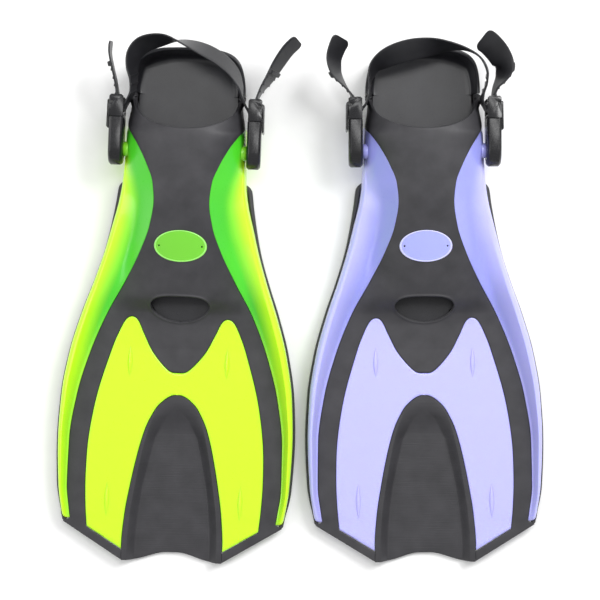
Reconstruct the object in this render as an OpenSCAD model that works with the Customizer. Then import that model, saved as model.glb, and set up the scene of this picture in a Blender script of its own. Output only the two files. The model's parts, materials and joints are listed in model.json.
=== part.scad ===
// A pair of open-heel travel fins, lying side by side on their soles.
// Each fin is drawn once in its own frame: x to the wearer's side, y towards the heel, z up from the
// floor, with y = 0 at the heel-side edge of the drain vent. place() then lays it in the pair.

/* [Fin size] */
// Length of the blade, from the vent to the tips
blade_len = 235; // [180:1:300]
// Width of the blade at its widest
blade_w = 212; // [170:1:255]
// Length of the foot part, from the vent to the heel end
pocket_len = 220; // [185:1:265]
// Outside width of the foot pocket at the instep
pocket_w = 105; // [90:1:126]
// Height of the foot pocket at its heel-side rim
crown_h = 66; // [56:1:80]

/* [Pair] */
// Gap from the middle of the pair to the lime blade, where it is widest
lime_gap = 4.48; // [3:0.01:30]
// Gap from the middle of the pair to the lavender blade, where it is widest
lavender_gap = 4.62; // [3:0.01:30]
// Turn of the lime fin on the floor, in degrees
lime_yaw = -2.2; // [-4:0.1:4]
// Turn of the lavender fin on the floor, in degrees
lavender_yaw = 0.4; // [-4:0.1:4]
// Shift of both fins that centres the pair's box on the origin
pair_y = 2.38; // [-20:0.01:20]

/* [Walls] */
// Thickness of the coloured side wings over the pocket
wing_t = 3; // [2:0.1:4]
// Thickness of the rubber over the instep
rubber_t = 3.4; // [2.4:0.1:5]
// Thickness of the sole
sole_t = 5; // [4:0.1:7]
// Thickness of the foot bed
bed_t = 2; // [1.5:0.1:3]
// Thickness of the blade's web
web_t = 3; // [2:0.1:4]
// Height of the blade's web over the floor
web_z = 6; // [4:0.1:8]
// Height that the rubber bands stand over the web
band_t = 2.2; // [1.5:0.1:3]
// Height that the coloured panel stands over the web
panel_t = 2.6; // [1.5:0.1:3.4]
// Depth of the channel's floor under its rim
channel_depth = 8; // [5:0.1:9]

/* [Strap and buckles] */
// Width of the heel strap
strap_w = 22; // [18:0.5:26]
// Thickness of the heel strap between its teeth
strap_t = 1.8; // [1.4:0.1:2.4]
// Height of the strap's teeth
tooth_h = 1; // [0.6:0.1:1.4]
// Distance between two teeth
tooth_pitch = 7.2; // [6:0.1:10]
// Radius of the swivel post
post_r = 5; // [4:0.1:6]
// Distance of the swivel post from the vent, along the fin
post_y = 128; // [110:1:150]
// Thickness of the swivel arm
arm_t = 12.2; // [12:0.1:14]
// Length of the swivel arm from the post to its end
arm_len = 27; // [26:0.5:34]
// Radius of the pawl's pin
pin_r = 1; // [0.8:0.05:1.1]

/* [Clearances] */
// Gap between mouldings that meet edge to edge
seam = 0.25; // [0.15:0.05:0.5]
// Gap between pieces that move past each other
play = 0.3; // [0.25:0.05:0.5]
// Radial clearance of a turning fit
fit = 0.05; // [0.02:0.01:0.09]

/* [Hidden] */

// Colours of the two fins' plastic, and of the rubber and the buckles
LIME = 0;
LAVENDER = 1;
PLASTIC = [[0.68, 1, 0.12], [0.70, 0.70, 0.96]];
CHARCOAL = [0.22, 0.22, 0.25];
BLACK = [0.06, 0.06, 0.07];

// ---- Curves and smooth steps

function mix(a, b, t) = a + (b - a) * t;
function smooth(t) = let(u = min(1, max(0, t))) u * u * (3 - 2 * u);

// Monotone cubic through a table whose first column rises; c is the column that is read
function step_at(t, i, c) = (t[i + 1][c] - t[i][c]) / (t[i + 1][0] - t[i][0]);
function slope_at(t, i, c) = i == 0 ? step_at(t, 0, c) : i == len(t) - 1 ? step_at(t, i - 1, c) :
    let(a = step_at(t, i - 1, c), b = step_at(t, i, c)) a * b <= 0 ? 0 : 2 * a * b / (a + b);
function span(t, y, i = 0) = i >= len(t) - 2 || y <= t[i + 1][0] ? i : span(t, y, i + 1);
function read(t, y, c) =
    let(i = span(t, y), h = t[i + 1][0] - t[i][0], u = min(1, max(0, (y - t[i][0]) / h)))
    (2 * u ^ 3 - 3 * u ^ 2 + 1) * t[i][c] + (u ^ 3 - 2 * u ^ 2 + u) * h * slope_at(t, i, c)
    + (3 * u ^ 2 - 2 * u ^ 3) * t[i + 1][c] + (u ^ 3 - u ^ 2) * h * slope_at(t, i + 1, c);

// Catmull-Rom curve through points of any size, n steps to a span
function cr(a, b, c, d, u) = 0.5 * (2 * b + (c - a) * u + (2 * a - 5 * b + 4 * c - d) * u ^ 2
    + (3 * b - a - 3 * c + d) * u ^ 3);
function curve(p, n) = [
    for (i = [0 : len(p) - 2]) for (k = [0 : n - 1])
        cr(p[max(0, i - 1)], p[i], p[i + 1], p[min(len(p) - 1, i + 2)], k / n),
    p[len(p) - 1]];
function bezier(a, b, c, d, t) =
    (1 - t) ^ 3 * a + 3 * (1 - t) ^ 2 * t * b + 3 * (1 - t) * t ^ 2 * c + t ^ 3 * d;

// Right half of an outline, closed by its mirror image
function mirrored(p) = concat(p, [for (i = [len(p) - 1 : -1 : 0]) if (p[i][0] > 0.01) [-p[i][0], p[i][1]]]);

// ---- Sizing: the tables hold the fin at its first size, and these stretch it

BLADE_LEN0 = 235;
BLADE_W0 = 212;
POCKET_LEN0 = 220;
POCKET_W0 = 105;
CROWN_H0 = 66;
POST_Y0 = 128;
WIDEST_Y = -128;

// Along the fin: the blade, the part from the vent to the posts, and the part behind the posts
function sy(y) = y < 0 ? y * blade_len / BLADE_LEN0 : y < POST_Y0 ? y * post_y / POST_Y0 :
    post_y + (y - POST_Y0) * (pocket_len - post_y) / (POCKET_LEN0 - POST_Y0);
function base_y(y) = y < 0 ? y * BLADE_LEN0 / blade_len : y < post_y ? y * POST_Y0 / post_y :
    POST_Y0 + (y - post_y) * (POCKET_LEN0 - POST_Y0) / (pocket_len - post_y);
function kx(y) = mix(blade_w / BLADE_W0, pocket_w / POCKET_W0, smooth((base_y(y) + 60) / 160));
function stretch(p) = [for (q = p) let(y = sy(q[1])) [q[0] * kx(y), y]];

// Side wing: station, border with the rubber (x, z), valley (x, z), crest (x, z), outer wall x
WING = [
    [-199, 91.5, 10.6, 92.6, 11.0, 95.0, 13.0, 97.6],
    [-192, 92.5, 11.2, 93.8, 11.8, 96.6, 15.5, 99.0],
    [-168, 95.2, 11.2, 96.6, 12.0, 99.6, 18.0, 102.3],
    [-128, 94.6, 11.2, 96.4, 12.3, 100.0, 21.0, 103.8],
    [-88, 89.0, 11.2, 91.4, 12.5, 97.0, 23.5, 101.9],
    [-50, 78.4, 11.3, 81.5, 13.0, 90.0, 25.5, 95.7],
    [-15, 64.2, 12.6, 69.5, 15.0, 80.0, 27.0, 85.8],
    [14, 48.2, 23.0, 58.0, 20.5, 70.5, 28.0, 75.7],
    [40, 35.2, 38.0, 48.0, 26.5, 62.5, 29.5, 67.6],
    [62, 27.2, 48.0, 41.5, 33.5, 56.5, 31.0, 62.0],
    [83, 24.0, 54.0, 38.5, 39.5, 52.0, 33.0, 56.8],
    [99, 25.6, 55.5, 41.0, 42.0, 51.0, 33.0, 54.4],
    [115, 31.6, 54.5, 46.0, 40.5, 51.4, 31.0, 53.4],
    [131, 40.0, 50.0, 49.8, 38.0, 52.0, 28.0, 52.8],
    [142, 47.2, 42.0, 51.2, 32.0, 52.1, 24.0, 52.6],
    [150, 51.5, 21.5, 51.9, 19.0, 52.1, 16.0, 52.5],
    [166, 49.2, 20.0, 49.4, 19.0, 49.6, 16.0, 49.8],
    [180, 48.3, 18.5, 48.5, 18.0, 48.7, 16.0, 48.9]];
// Height of the pocket's crown
CROWN = [[-24, 12.4], [-15, 15], [0, 31], [14, 37], [40, 45], [62, 51], [99, 61], [145, 66],
    [162, 61], [180, 44]];
// Half width of the room for the foot
FOOT = [[-14, 19], [0, 36], [20, 43], [45, 45.8], [100, 46], [180, 46.2]];
// Outer edge of the dark edge strip
OUTER = [[-201, 98], [-168, 104.6], [-128, 106.1], [-88, 104.1], [-50, 97.9], [-15, 88], [14, 77.8],
    [40, 69.8], [62, 65], [83, 61.4], [97, 59.4], [102, 55.6]];
// Outer half width of the foot part behind the pocket's rim
HEEL = [[180, 50.6], [190, 49.8], [200, 47.2], [209, 42.2], [215.5, 34], [219, 23], [220, 9]];

WALL_X = 49.5;      // outer side of the rubber under the wings
RIM_Y = 145.5;      // heel-side rim at the crown
RIM_SWEEP = 34;     // how far the rim runs back at its sides
FRONT_Y = -15;      // toe-side end of the pocket
WING_START = 150;   // heel-side point of the wing

function border_x(y) = kx(y) * read(WING, base_y(y), 1);
function lift(y) = mix(1, crown_h / CROWN_H0, smooth(base_y(y) / 90));
function border_z(y) = lift(y) * read(WING, base_y(y), 2);
function crown_z(y) = lift(y) * read(CROWN, base_y(y), 1);
function wall_x(y) = max(border_x(y), WALL_X * kx(y) * mix(1, 0.97, smooth((base_y(y) - WING_START) / 16)));
function outer_x(y) = kx(y) * read(OUTER, base_y(y), 1);
function wing_x(y) = kx(y) * read(WING, base_y(y), 7);
function foot_x(y) = kx(y) * read(FOOT, base_y(y), 1);

// Rubber skin between the borders: crown height falling to the border as a bell, then as an arch
function skin_z(x, y) =
    let(bx = border_x(y), bz = border_z(y), t = min(1, abs(x) / bx), arch = smooth((base_y(y) - 105) / 45))
    bz + (crown_z(y) - bz) * (1 - t ^ mix(2.2, 2, arch)) ^ mix(1, 0.5, arch);

// Outer section of the wing, from the border with the rubber over the crest to the floor
function wing_outer(y) =
    let(b = base_y(y), k = kx(y), l = lift(y),
        p = [for (c = [1, 3, 5]) [k * read(WING, b, c), l * read(WING, b, c + 1)]],
        wall = wing_x(y), shoulder = p[2][1] * 0.72)
    concat(curve(p, 3),
        [for (a = [30 : 30 : 90]) [mix(p[2][0], wall, sin(a)), mix(shoulder, p[2][1], cos(a))]],
        [[wall, 0]]);
// Curve under the wing, inset by g from the wing's inner face
function under_wing(y, t, g) =
    let(x = border_x(y), w = wall_x(y), z = border_z(y) - wing_t, foot = min(8, z * 0.6))
    bezier([x, z], [mix(x, w, 0.45), mix(z, foot, 0.3)], [w, mix(z, foot, 0.45)], [w, foot], t) - [g, g];
function wing_inner(y) = concat([for (k = [0 : 7]) under_wing(y, k / 7, 0)],
    [for (k = [1 : 3]) [wall_x(y), under_wing(y, 1, 0)[1] * (1 - k / 3)]]);

// ---- Solids from grids of points

// Closed solid between an upper and a lower grid of the same size. Columns, rows and the upper side's
// normal are a right-handed set
module sheet(top, low) {
    rows = len(top);
    cols = len(top[0]);
    points = concat([for (r = top) each r], [for (r = low) each r]);
    half = rows * cols;
    function at(i, j, s) = s * half + i * cols + j;
    faces = concat(
        [for (i = [0 : rows - 2]) for (j = [0 : cols - 2])
            each [[at(i, j, 0), at(i + 1, j + 1, 0), at(i, j + 1, 0)],
                [at(i, j, 0), at(i + 1, j, 0), at(i + 1, j + 1, 0)],
                [at(i, j, 1), at(i, j + 1, 1), at(i + 1, j + 1, 1)],
                [at(i, j, 1), at(i + 1, j + 1, 1), at(i + 1, j, 1)]]],
        [for (i = [0 : rows - 2])
            each [[at(i, 0, 0), at(i, 0, 1), at(i + 1, 0, 0)], [at(i + 1, 0, 0), at(i, 0, 1), at(i + 1, 0, 1)],
                [at(i, cols - 1, 0), at(i + 1, cols - 1, 0), at(i, cols - 1, 1)],
                [at(i + 1, cols - 1, 0), at(i + 1, cols - 1, 1), at(i, cols - 1, 1)]]],
        [for (j = [0 : cols - 2])
            each [[at(0, j, 0), at(0, j + 1, 0), at(0, j, 1)], [at(0, j + 1, 0), at(0, j + 1, 1), at(0, j, 1)],
                [at(rows - 1, j, 0), at(rows - 1, j, 1), at(rows - 1, j + 1, 0)],
                [at(rows - 1, j + 1, 0), at(rows - 1, j, 1), at(rows - 1, j + 1, 1)]]]);
    polyhedron(points, faces);
}

// Closed solid through closed rings of the same size, from the bottom up, with flat or coned ends
module rings(r) {
    n = len(r[0]);
    last = len(r) - 1;
    polyhedron([for (q = r) each q], concat(
        [for (i = [0 : last - 1]) for (j = [0 : n - 1]) let(k = (j + 1) % n)
            each [[i * n + j, (i + 1) * n + k, i * n + k], [i * n + j, (i + 1) * n + j, (i + 1) * n + k]]],
        [[for (j = [0 : n - 1]) j], [for (j = [n - 1 : -1 : 0]) last * n + j]]));
}

// ---- The two fins' place on the floor

// Each fin turns about the middle of its blade's widest section
module place(lavender) {
    middle = sy(WIDEST_Y);
    translate([lavender ? blade_w / 2 + lavender_gap : -blade_w / 2 - lime_gap, middle + pair_y, 0])
        rotate([0, 0, lavender ? lavender_yaw : lime_yaw])
            translate([0, -middle, 0])
                children();
}
// Left pieces are the mirror image of right ones
module on_side(left) {
    mirror([left ? 1 : 0, 0, 0]) children();
}

// ---- Foot part

// Drain vent over the toes: nearly straight on the heel side, a deep curve on the toe side
VENT = curve([[0, 0.5], [14, 0], [22.5, -2.6], [26, -8], [22, -14.5], [12, -20], [0, -22]], 3);
module vent_shape() {
    polygon(mirrored(stretch(VENT)));
}

// Rubber pocket: arch over the instep, sunk under the wings, with the swept rim on the heel side
SIDE_ROWS = [0, 14, 28, 42, 58, 75, 92, 108, 122, 134, 142, 147, 150];
POCKET_ROWS = [for (y = concat([FRONT_Y], SIDE_ROWS, [160, 171, RIM_Y + RIM_SWEEP]))
    (y - FRONT_Y) / (RIM_Y + RIM_SWEEP - FRONT_Y)];
hidden_gap = 0.35;  // more room under the wing than at its visible border
function pocket_y(a, u) = sy(mix(FRONT_Y, RIM_Y + RIM_SWEEP * (1 - cos(min(90, a))), u));
function pocket_outer(u, k) =
    let(a = 90 * min(7, k) / 7, y = pocket_y(a, u))
    k <= 7 ? let(x = sin(a) * (border_x(y) - seam)) [x, y, skin_z(x, y)] :
    k < 14 ? let(p = under_wing(y, (k - 8) / 5, seam + (k > 8 ? hidden_gap : 0))) [p[0], y, p[1]] :
    [wall_x(y) - seam, y, sole_t];
function pocket_inner(u, k) =
    let(a = k <= 7 ? k * 67 / 7 : mix(67, 90, (k - 7) / 7), y = pocket_y(a * 90 / 67, u),
        h = crown_z(y) - rubber_t - sole_t)
    [foot_x(y) * sin(a), y, sole_t + h * (k == 14 ? 0 : cos(a))];
function across(p) = concat([for (k = [len(p) - 1 : -1 : 1]) [-p[k][0], p[k][1], p[k][2]]], p);
module foot_pocket() {
    color(CHARCOAL)
        difference() {
            sheet([for (u = POCKET_ROWS) across([for (k = [0 : 14]) pocket_outer(u, k)])],
                [for (u = POCKET_ROWS) across([for (k = [0 : 14]) pocket_inner(u, k)])]);
            translate([0, 0, sole_t + bed_t])
                linear_extrude(crown_h)
                    vent_shape();
        }
}

// Foot bed: a floor under the foot that rises to the heel cup behind the pocket's rim
bed_gap = 0.5;
BED_SIDE = concat([[read(FOOT, FRONT_Y, 1) - bed_gap, FRONT_Y + 1.5]],
    [for (y = [0, 14, 28, 42, 92, 150]) [read(FOOT, y, 1) - bed_gap, y]],
    [for (q = [[45.6, -0.2], [45.6, 0.3], [50.4, 0.6]]) [q[0], RIM_Y + RIM_SWEEP + q[1]]],
    [for (y = [186, 193, 200, 206, 211, 215.5, 219]) [read(HEEL, y, 1), y]], [[9, 220]]);
// Height of the cup's wall over the bed: a step at the pocket's rim, then a slow rise to the heel
WALL_STEP = 11.3;
WALL_RISE = 7;
function bed_wall(y) = let(b = base_y(y) - RIM_Y - RIM_SWEEP)
    WALL_STEP * smooth((b + 0.1) / 0.5) + WALL_RISE * smooth((b - 2.5) / 26);
// Ring of the bed drawn in by an inset: all of it round the heel, little of it in the pocket
function bed_ring(inset, z, wall) = [for (p = mirrored_all(stretch(BED_SIDE)))
    let(b = base_y(p[1]), f = b > WING_START ? inset : min(inset, 1))
    [p[0] - f * sign(p[0]) * min(1, abs(p[0]) / 30),
        b > WING_START ? p[1] - f * smooth((b - 205) / 15) : p[1] + f * 0.2,
        z + wall * bed_wall(p[1])]];
function mirrored_all(p) = concat(p, [for (i = [len(p) - 1 : -1 : 0]) [-p[i][0], p[i][1]]]);
tongue_t = 1.6;     // the blade's tongue between the sole and the foot bed
bed_z = sole_t + tongue_t + 0.1;
module foot_bed() {
    color(BLACK)
        rings([bed_ring(0, bed_z, 0), bed_ring(0, bed_z + bed_t, 1), bed_ring(2.6, bed_z + bed_t, 1),
            bed_ring(8, bed_z + bed_t, 0)]);
}

// Sole with cross grooves for grip
sole_gap = 0.3;
SOLE_SIDE = concat([[16, -17], [34, -15], [44, -8]], [for (y = SIDE_ROWS) if (y > 0) [WALL_X - sole_gap, y]],
    [[48.1, 166], [48.1, 178], [50.6, 181]],
    [for (y = [190, 200, 209, 215.5, 219]) [read(HEEL, y, 1), y]], [[9, 220]]);
module sole() {
    color(CHARCOAL)
        difference() {
            linear_extrude(sole_t)
                polygon(mirrored_all(stretch(SOLE_SIDE)));
            for (i = [0 : 8])
                translate([-30 * kx(0), sy(30 + 20 * i), -1])
                    cube([60 * kx(0), 5, 1 + sole_t * 0.3]);
        }
}

// Oval badge with two pin holes, bent to the instep
BADGE_Y = 44.5;
badge_a = 23;       // half its length
badge_b = 13.7;     // half its width
badge_t = 1.3;
badge_hole_r = 0.8;
function badge_ring(s, h) = [for (i = [0 : 23]) let(x = s * badge_a * cos(15 * i),
    y = sy(BADGE_Y) + s * badge_b * sin(15 * i)) [x, y, skin_z(x, y) + h]];
module badge(lavender) {
    color(PLASTIC[lavender])
        difference() {
            rings([badge_ring(0.3, seam), badge_ring(0.75, seam), badge_ring(1, seam),
                badge_ring(1, badge_t * 0.6), badge_ring(0.95, badge_t), badge_ring(0.7, badge_t),
                badge_ring(0.3, badge_t)]);
            for (s = [-1, 1])
                translate([s * (badge_a - 4.3), sy(BADGE_Y), crown_z(sy(BADGE_Y)) - 10])
                    cylinder(h = 20, r = badge_hole_r, $fn = 24);
        }
}

// ---- Side wings with the swivel posts

WING_ROWS = concat([-199, -196.5, -190, -178, -160, -135, -110, -86, -65, -45, -28, FRONT_Y], SIDE_ROWS);
strap_low = 22;     // height of the strap's lower edge at the buckles
post_z = strap_low + strap_w / 2;
collar_r = post_r + 1.5;
arm_x = 54.1;       // inner side of the arm, at the first pocket width
function arm_in() = arm_x * pocket_w / POCKET_W0;
cap_t = 1.9;
cap_r = post_r + 3;
module along_x(x, y = post_y, z = post_z) {
    translate([x, y, z]) rotate([0, 90, 0]) children();
}
module wing(left, lavender) {
    start = wall_x(post_y);
    post_end = arm_in() + arm_t - cap_t - 0.1;
    color(PLASTIC[lavender])
        on_side(left) {
            sheet([for (y = WING_ROWS) [for (p = wing_outer(sy(y))) [p[0], sy(y), p[1]]]],
                [for (y = WING_ROWS) [for (p = wing_inner(sy(y))) [p[0], sy(y), p[1]]]]);
            along_x(start)
                rotate_extrude($fn = 48)
                    polygon([[0, 0], [collar_r, 0], [collar_r, arm_in() - play - start],
                        [post_r, arm_in() - play - start], [post_r, post_end - start], [0, post_end - start]]);
        }
}

// Soft edge strip along the outside of the wing
EDGE_ROWS = concat([-201], [for (y = WING_ROWS) if (y < 98) y], [98, 102]);
module edge(left) {
    color(CHARCOAL)
        on_side(left)
            sheet([for (y = EDGE_ROWS) let(a = wing_x(sy(y)) + seam, b = max(a + 0.8, outer_x(sy(y))))
                    [[a, sy(y), 9], [mix(a, b, 0.6), sy(y), 9], [b, sy(y), 7.4], [b, sy(y), 2]]],
                [for (y = EDGE_ROWS) let(a = wing_x(sy(y)) + seam)
                    [for (z = [8.6, 6, 4, 1.4]) [a, sy(y), z]]]);
}

// ---- Blade

// Right half of the coloured panel: two lobes at the toe side of the pocket, a long leg each side
// of the channel
PANEL = concat(
    curve([[0, -67.2], [9, -65], [22.5, -50], [31, -34], [37, -21.5], [42.7, -18.2], [48.5, -21.8],
        [54.7, -34.3], [60.5, -50.3], [71.2, -87.7], [77.5, -126], [79, -160], [78.2, -186], [76.6, -205]], 3),
    curve([[75, -207.6], [60, -216.8], [47.6, -224.4], [45.2, -224.2]], 2));
// Channel: outer edge of its rim, from the point to the trailing edge
CHANNEL = [[-235, 44.6], [-221, 44.6], [-194, 42.7], [-168, 38.7], [-141, 33.4], [-125, 29.4], [-114, 25.8],
    [-104, 21], [-98, 17.4], [-93, 12.6], [-89, 6.8], [-87.4, 2.2]];
function channel_x(y) = kx(y) * read(CHANNEL, base_y(y), 1);
CHANNEL_SIDE = [-225, -212, -198, -180, -160, -141, -125, -114, -104, -98, -93, -89, -87.4];
function channel_outline(g) = [for (y = CHANNEL_SIDE) [channel_x(sy(y)) + g, sy(y) + g]];
module panel_shape() {
    side = concat(stretch(PANEL), channel_outline(2 * seam));
    polygon(mirrored(side));
}
// Outline of the blade from the pocket's end to the trailing edge, inside the wings
BLADE_ROWS = [for (i = [len(WING_ROWS) - 1 : -1 : 0]) let(y = WING_ROWS[i]) if (y <= FRONT_Y && y > -199) y];
module deck_shape(g, reach, point) {
    side = concat([for (y = BLADE_ROWS) [border_x(sy(y)) - g, sy(y) - (y == FRONT_Y ? seam : 0)]],
        reach ? stretch([[92, -199.8], [96, -200.8], [97.6, -202], [48, -233.6]]) : stretch([[84, -200]]),
        stretch([[47.6, -226 + point]]));
    difference() {
        polygon(mirrored(concat([[0.02, sy(FRONT_Y) - seam]], side, [[0.02, sy(-226 + point)]])));
        polygon(mirrored(concat([[0.02, sy(-240)], [channel_x(sy(-235)) + 2 * seam, sy(-240)]],
            channel_outline(2 * seam), [[0.02, sy(-86.4)]])));
        vent_shape();
    }
}
web_top = web_z + web_t;
// Low pointed rib on the panel
module panel_rib(x, y, length) {
    w = 3.1;
    n = 6;
    translate([x * kx(sy(y)), sy(y), web_top + panel_t - 0.6])
        polyhedron(concat([[0, -length / 2, 0]],
                [for (k = [1 : n - 1]) let(a = 180 * k / n, c = w * sin(a), l = -length / 2 * cos(a))
                    each [[-c, l, 0], [0, l, 0.6 + 1.4 * sin(a)], [c, l, 0]]], [[0, length / 2, 0]]),
            concat([[0, 1, 2], [0, 2, 3], [0, 3, 1]],
                [for (k = [0 : n - 3]) let(i = 1 + 3 * k)
                    each [[i, i + 3, i + 4], [i, i + 4, i + 1], [i + 1, i + 4, i + 5],
                        [i + 1, i + 5, i + 2], [i + 2, i + 5, i + 3], [i + 2, i + 3, i]]],
                [let(e = 3 * n - 2, i = e - 3) each [[e, i + 1, i], [e, i + 2, i + 1], [e, i, i + 2]]]));
}
module blade(lavender) {
    color(PLASTIC[lavender]) {
        // Web under the rubber bands
        translate([0, 0, web_z])
            linear_extrude(web_t)
                deck_shape(2 * seam, false, 5);
        // Raised panel
        translate([0, 0, web_z + 0.5])
            linear_extrude(web_t + panel_t - 0.5)
                panel_shape();
        // Tongue between the sole and the foot bed
        translate([0, 0, sole_t])
            linear_extrude(tongue_t)
                polygon(mirrored_all(stretch([[17, -40], [17, 2], [34, 14], [36, 120], [26, 165]])));
        for (s = [-1, 1]) {
            panel_rib(s * 43, -58, 27);
            panel_rib(s * 59.2, -181, 31);
        }
    }
}

// Rubber bands round the panel, with the pointed tongue under the vent and the trailing border
module deck_rubber() {
    color(CHARCOAL)
        translate([0, 0, web_top])
            linear_extrude(band_t)
                difference() {
                    deck_shape(seam, true, 0);
                    offset_panel();
                }
}
// Window in the rubber, a seam wider than the panel
module offset_panel() {
    side = concat([for (p = stretch(PANEL)) p], channel_outline(0));
    c = [0, sy(-130)];
    k = 1 + 2 * seam / (blade_w * 0.36);
    translate(c) scale([k, 1 + 2 * seam / 100, 1]) translate(-c) polygon(mirrored(side));
}

// Rubber channel down the middle of the blade: raised rim, sloping sides, sunk floor
CHANNEL_ROWS = [1, 0.86, 0.72, 0.58, 0.45, 0.33, 0.24, 0.17, 0.115, 0.075, 0.04, 0.012, 0];
rim_top = web_top + panel_t + 0.6;
function channel_y(u, s) = sy(mix(-87.4, -227.5 - 7.5 * smooth((s - 0.1) / 0.75), u));
function channel_top(u, s) =
    let(y = channel_y(u, s), x = s * channel_x(y), b = base_y(y),
        floor_x = read([[-235, 0.72], [-168, 0.7], [-125, 0.58], [-108, 0.4], [-97, 0.02]], b, 1),
        sunk = smooth((-90 - b) / 34) * (1 - smooth((s - floor_x) / (0.9 - floor_x))))
    [x, y, rim_top - (s > 0.95 ? 0.8 : 0) - channel_depth * sunk];
CHANNEL_S = [0, 0.3, 0.55, 0.68, 0.78, 0.88, 0.95, 1];
module channel() {
    top = [for (u = CHANNEL_ROWS) across([for (s = CHANNEL_S) channel_top(u, s)])];
    low = [for (r = top) [for (p = r) [p[0], p[1], p[2] - (abs(p[0]) < 0.9 * channel_x(p[1]) ? 2 : 4.4)]]];
    color(CHARCOAL) sheet(top, low);
}

// ---- Strap and buckles

frame_y0 = post_y + arm_len + 0.4;
frame_len = 19;
frame_x0 = arm_in() + 0.3;
cheek_t = 2.5;
cheek_in = strap_w / 2 + play;
frame_h = 2 * (cheek_in + cheek_t);
pin_sink = 1;       // depth of the pin's ends under the frame's faces
bar_r = 2;
bar_x = frame_x0 + 2.6;
bar_y = frame_y0 + 10.1;
bend_r = bar_r + play + strap_t / 2;
// The pawl's pin stands clear of the teeth on the band's outer leg
pawl_x = bar_x + bend_r + strap_t / 2 + tooth_h + 2.3;
pawl_y = bar_y + 2.5;
frame_x1 = pawl_x + 2;
clip_l = 13;        // length of the frame's clip in the arm
clip_w = 6;
clip_h = 16;
clip_x = arm_in() + arm_t / 2;

// Swivel arm: round at the post, square where the frame clips in
module arm(left) {
    r = 14;
    bevel = 1.8;
    color(BLACK)
        on_side(left)
            difference() {
                hull() {
                    along_x(arm_in() + bevel) cylinder(h = arm_t - 2 * bevel, r = r, $fn = 32);
                    along_x(arm_in()) cylinder(h = arm_t, r = r - bevel, $fn = 32);
                    translate([arm_in() + bevel, post_y + arm_len - 2, post_z - r])
                        cube([arm_t - 2 * bevel, 2, 2 * r]);
                    translate([arm_in(), post_y + arm_len - 2, post_z - r + bevel])
                        cube([arm_t, 2, 2 * (r - bevel)]);
                }
                along_x(arm_in() - 1) cylinder(h = arm_t + 2, r = post_r + fit, $fn = 48);
                along_x(arm_in() + arm_t - cap_t - 0.5) cylinder(h = cap_t + 1.5, r = cap_r + play + 0.1, $fn = 48);
                translate([clip_x - clip_w / 2 - play, post_y + arm_len - clip_l, post_z - clip_h / 2 - play])
                    cube([clip_w + 2 * play, clip_l + 1, clip_h + 2 * play]);
            }
}
// Cap on the post's end, let into the arm
module post_cap(left) {
    color(BLACK)
        on_side(left)
            along_x(arm_in() + arm_t - cap_t - 0.1) {
                cylinder(h = cap_t - 0.5, r = cap_r, $fn = 48);
                translate([0, 0, cap_t - 0.5])
                    cylinder(h = 0.5, r1 = cap_r, r2 = cap_r - 1.2, $fn = 48);
            }
}
// Buckle frame: two cheeks, the bridge between them, the bar the strap turns on, the clip
module frame(left) {
    color(BLACK)
        on_side(left)
            difference() {
                union() {
                    for (z = [post_z - cheek_in - cheek_t, post_z + cheek_in])
                        translate([0, 0, z])
                            linear_extrude(cheek_t)
                                polygon([[frame_x0, frame_y0], [frame_x1, frame_y0],
                                    [frame_x1, frame_y0 + frame_len - 1.5], [frame_x1 - 1.5, frame_y0 + frame_len],
                                    [frame_x0 + 1.5, frame_y0 + frame_len], [frame_x0, frame_y0 + frame_len - 1.5]]);
                    translate([frame_x0, frame_y0, post_z - cheek_in - 0.5])
                        cube([frame_x1 - frame_x0, 3.2, 2 * cheek_in + 1]);
                    translate([bar_x, bar_y, post_z - cheek_in - 0.5])
                        cylinder(h = 2 * cheek_in + 1, r = bar_r, $fn = 32);
                    translate([clip_x - clip_w / 2, frame_y0 - clip_l + 0.8, post_z - clip_h / 2])
                        cube([clip_w, clip_l, clip_h]);
                }
                translate([pawl_x, pawl_y, post_z - frame_h])
                    cylinder(h = 2 * frame_h, r = pin_r + 0.02, $fn = 24);
                for (z = [post_z - frame_h / 2 - 1, post_z + frame_h / 2 - pin_sink])
                    translate([pawl_x, pawl_y, z])
                        cylinder(h = 1 + pin_sink, r = pin_r + 0.5, $fn = 24);
            }
}
// Pawl: a nose that holds the strap's teeth and a thumb lever along the outside
module pawl(left) {
    out = max(frame_x1, arm_in() + arm_t) - pawl_x + 0.4;
    color(BLACK)
        on_side(left)
            translate([pawl_x, pawl_y, post_z - cheek_in + play])
                linear_extrude(2 * (cheek_in - play))
                    difference() {
                        polygon([[-1.6, -2.2], [-0.6, -2], [1.2, -2.2], [out, -3.6], [out, -21.6],
                            [out + 0.8, -22.6], [out + 1.8, -21.4], [out + 1.6, -4], [out + 1.5, 1.2],
                            [out + 0.6, 2.2], [1.2, 2], [-0.6, 1.8], [-1.7, 0.8], [-1.8, -0.4]]);
                        circle(r = pin_r + fit, $fn = 24);
                    }
}
module pawl_pin(left) {
    color("silver")
        on_side(left)
            translate([pawl_x, pawl_y, post_z - frame_h / 2 + pin_sink])
                cylinder(h = frame_h - 2 * pin_sink, r = pin_r, $fn = 24);
}

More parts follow.
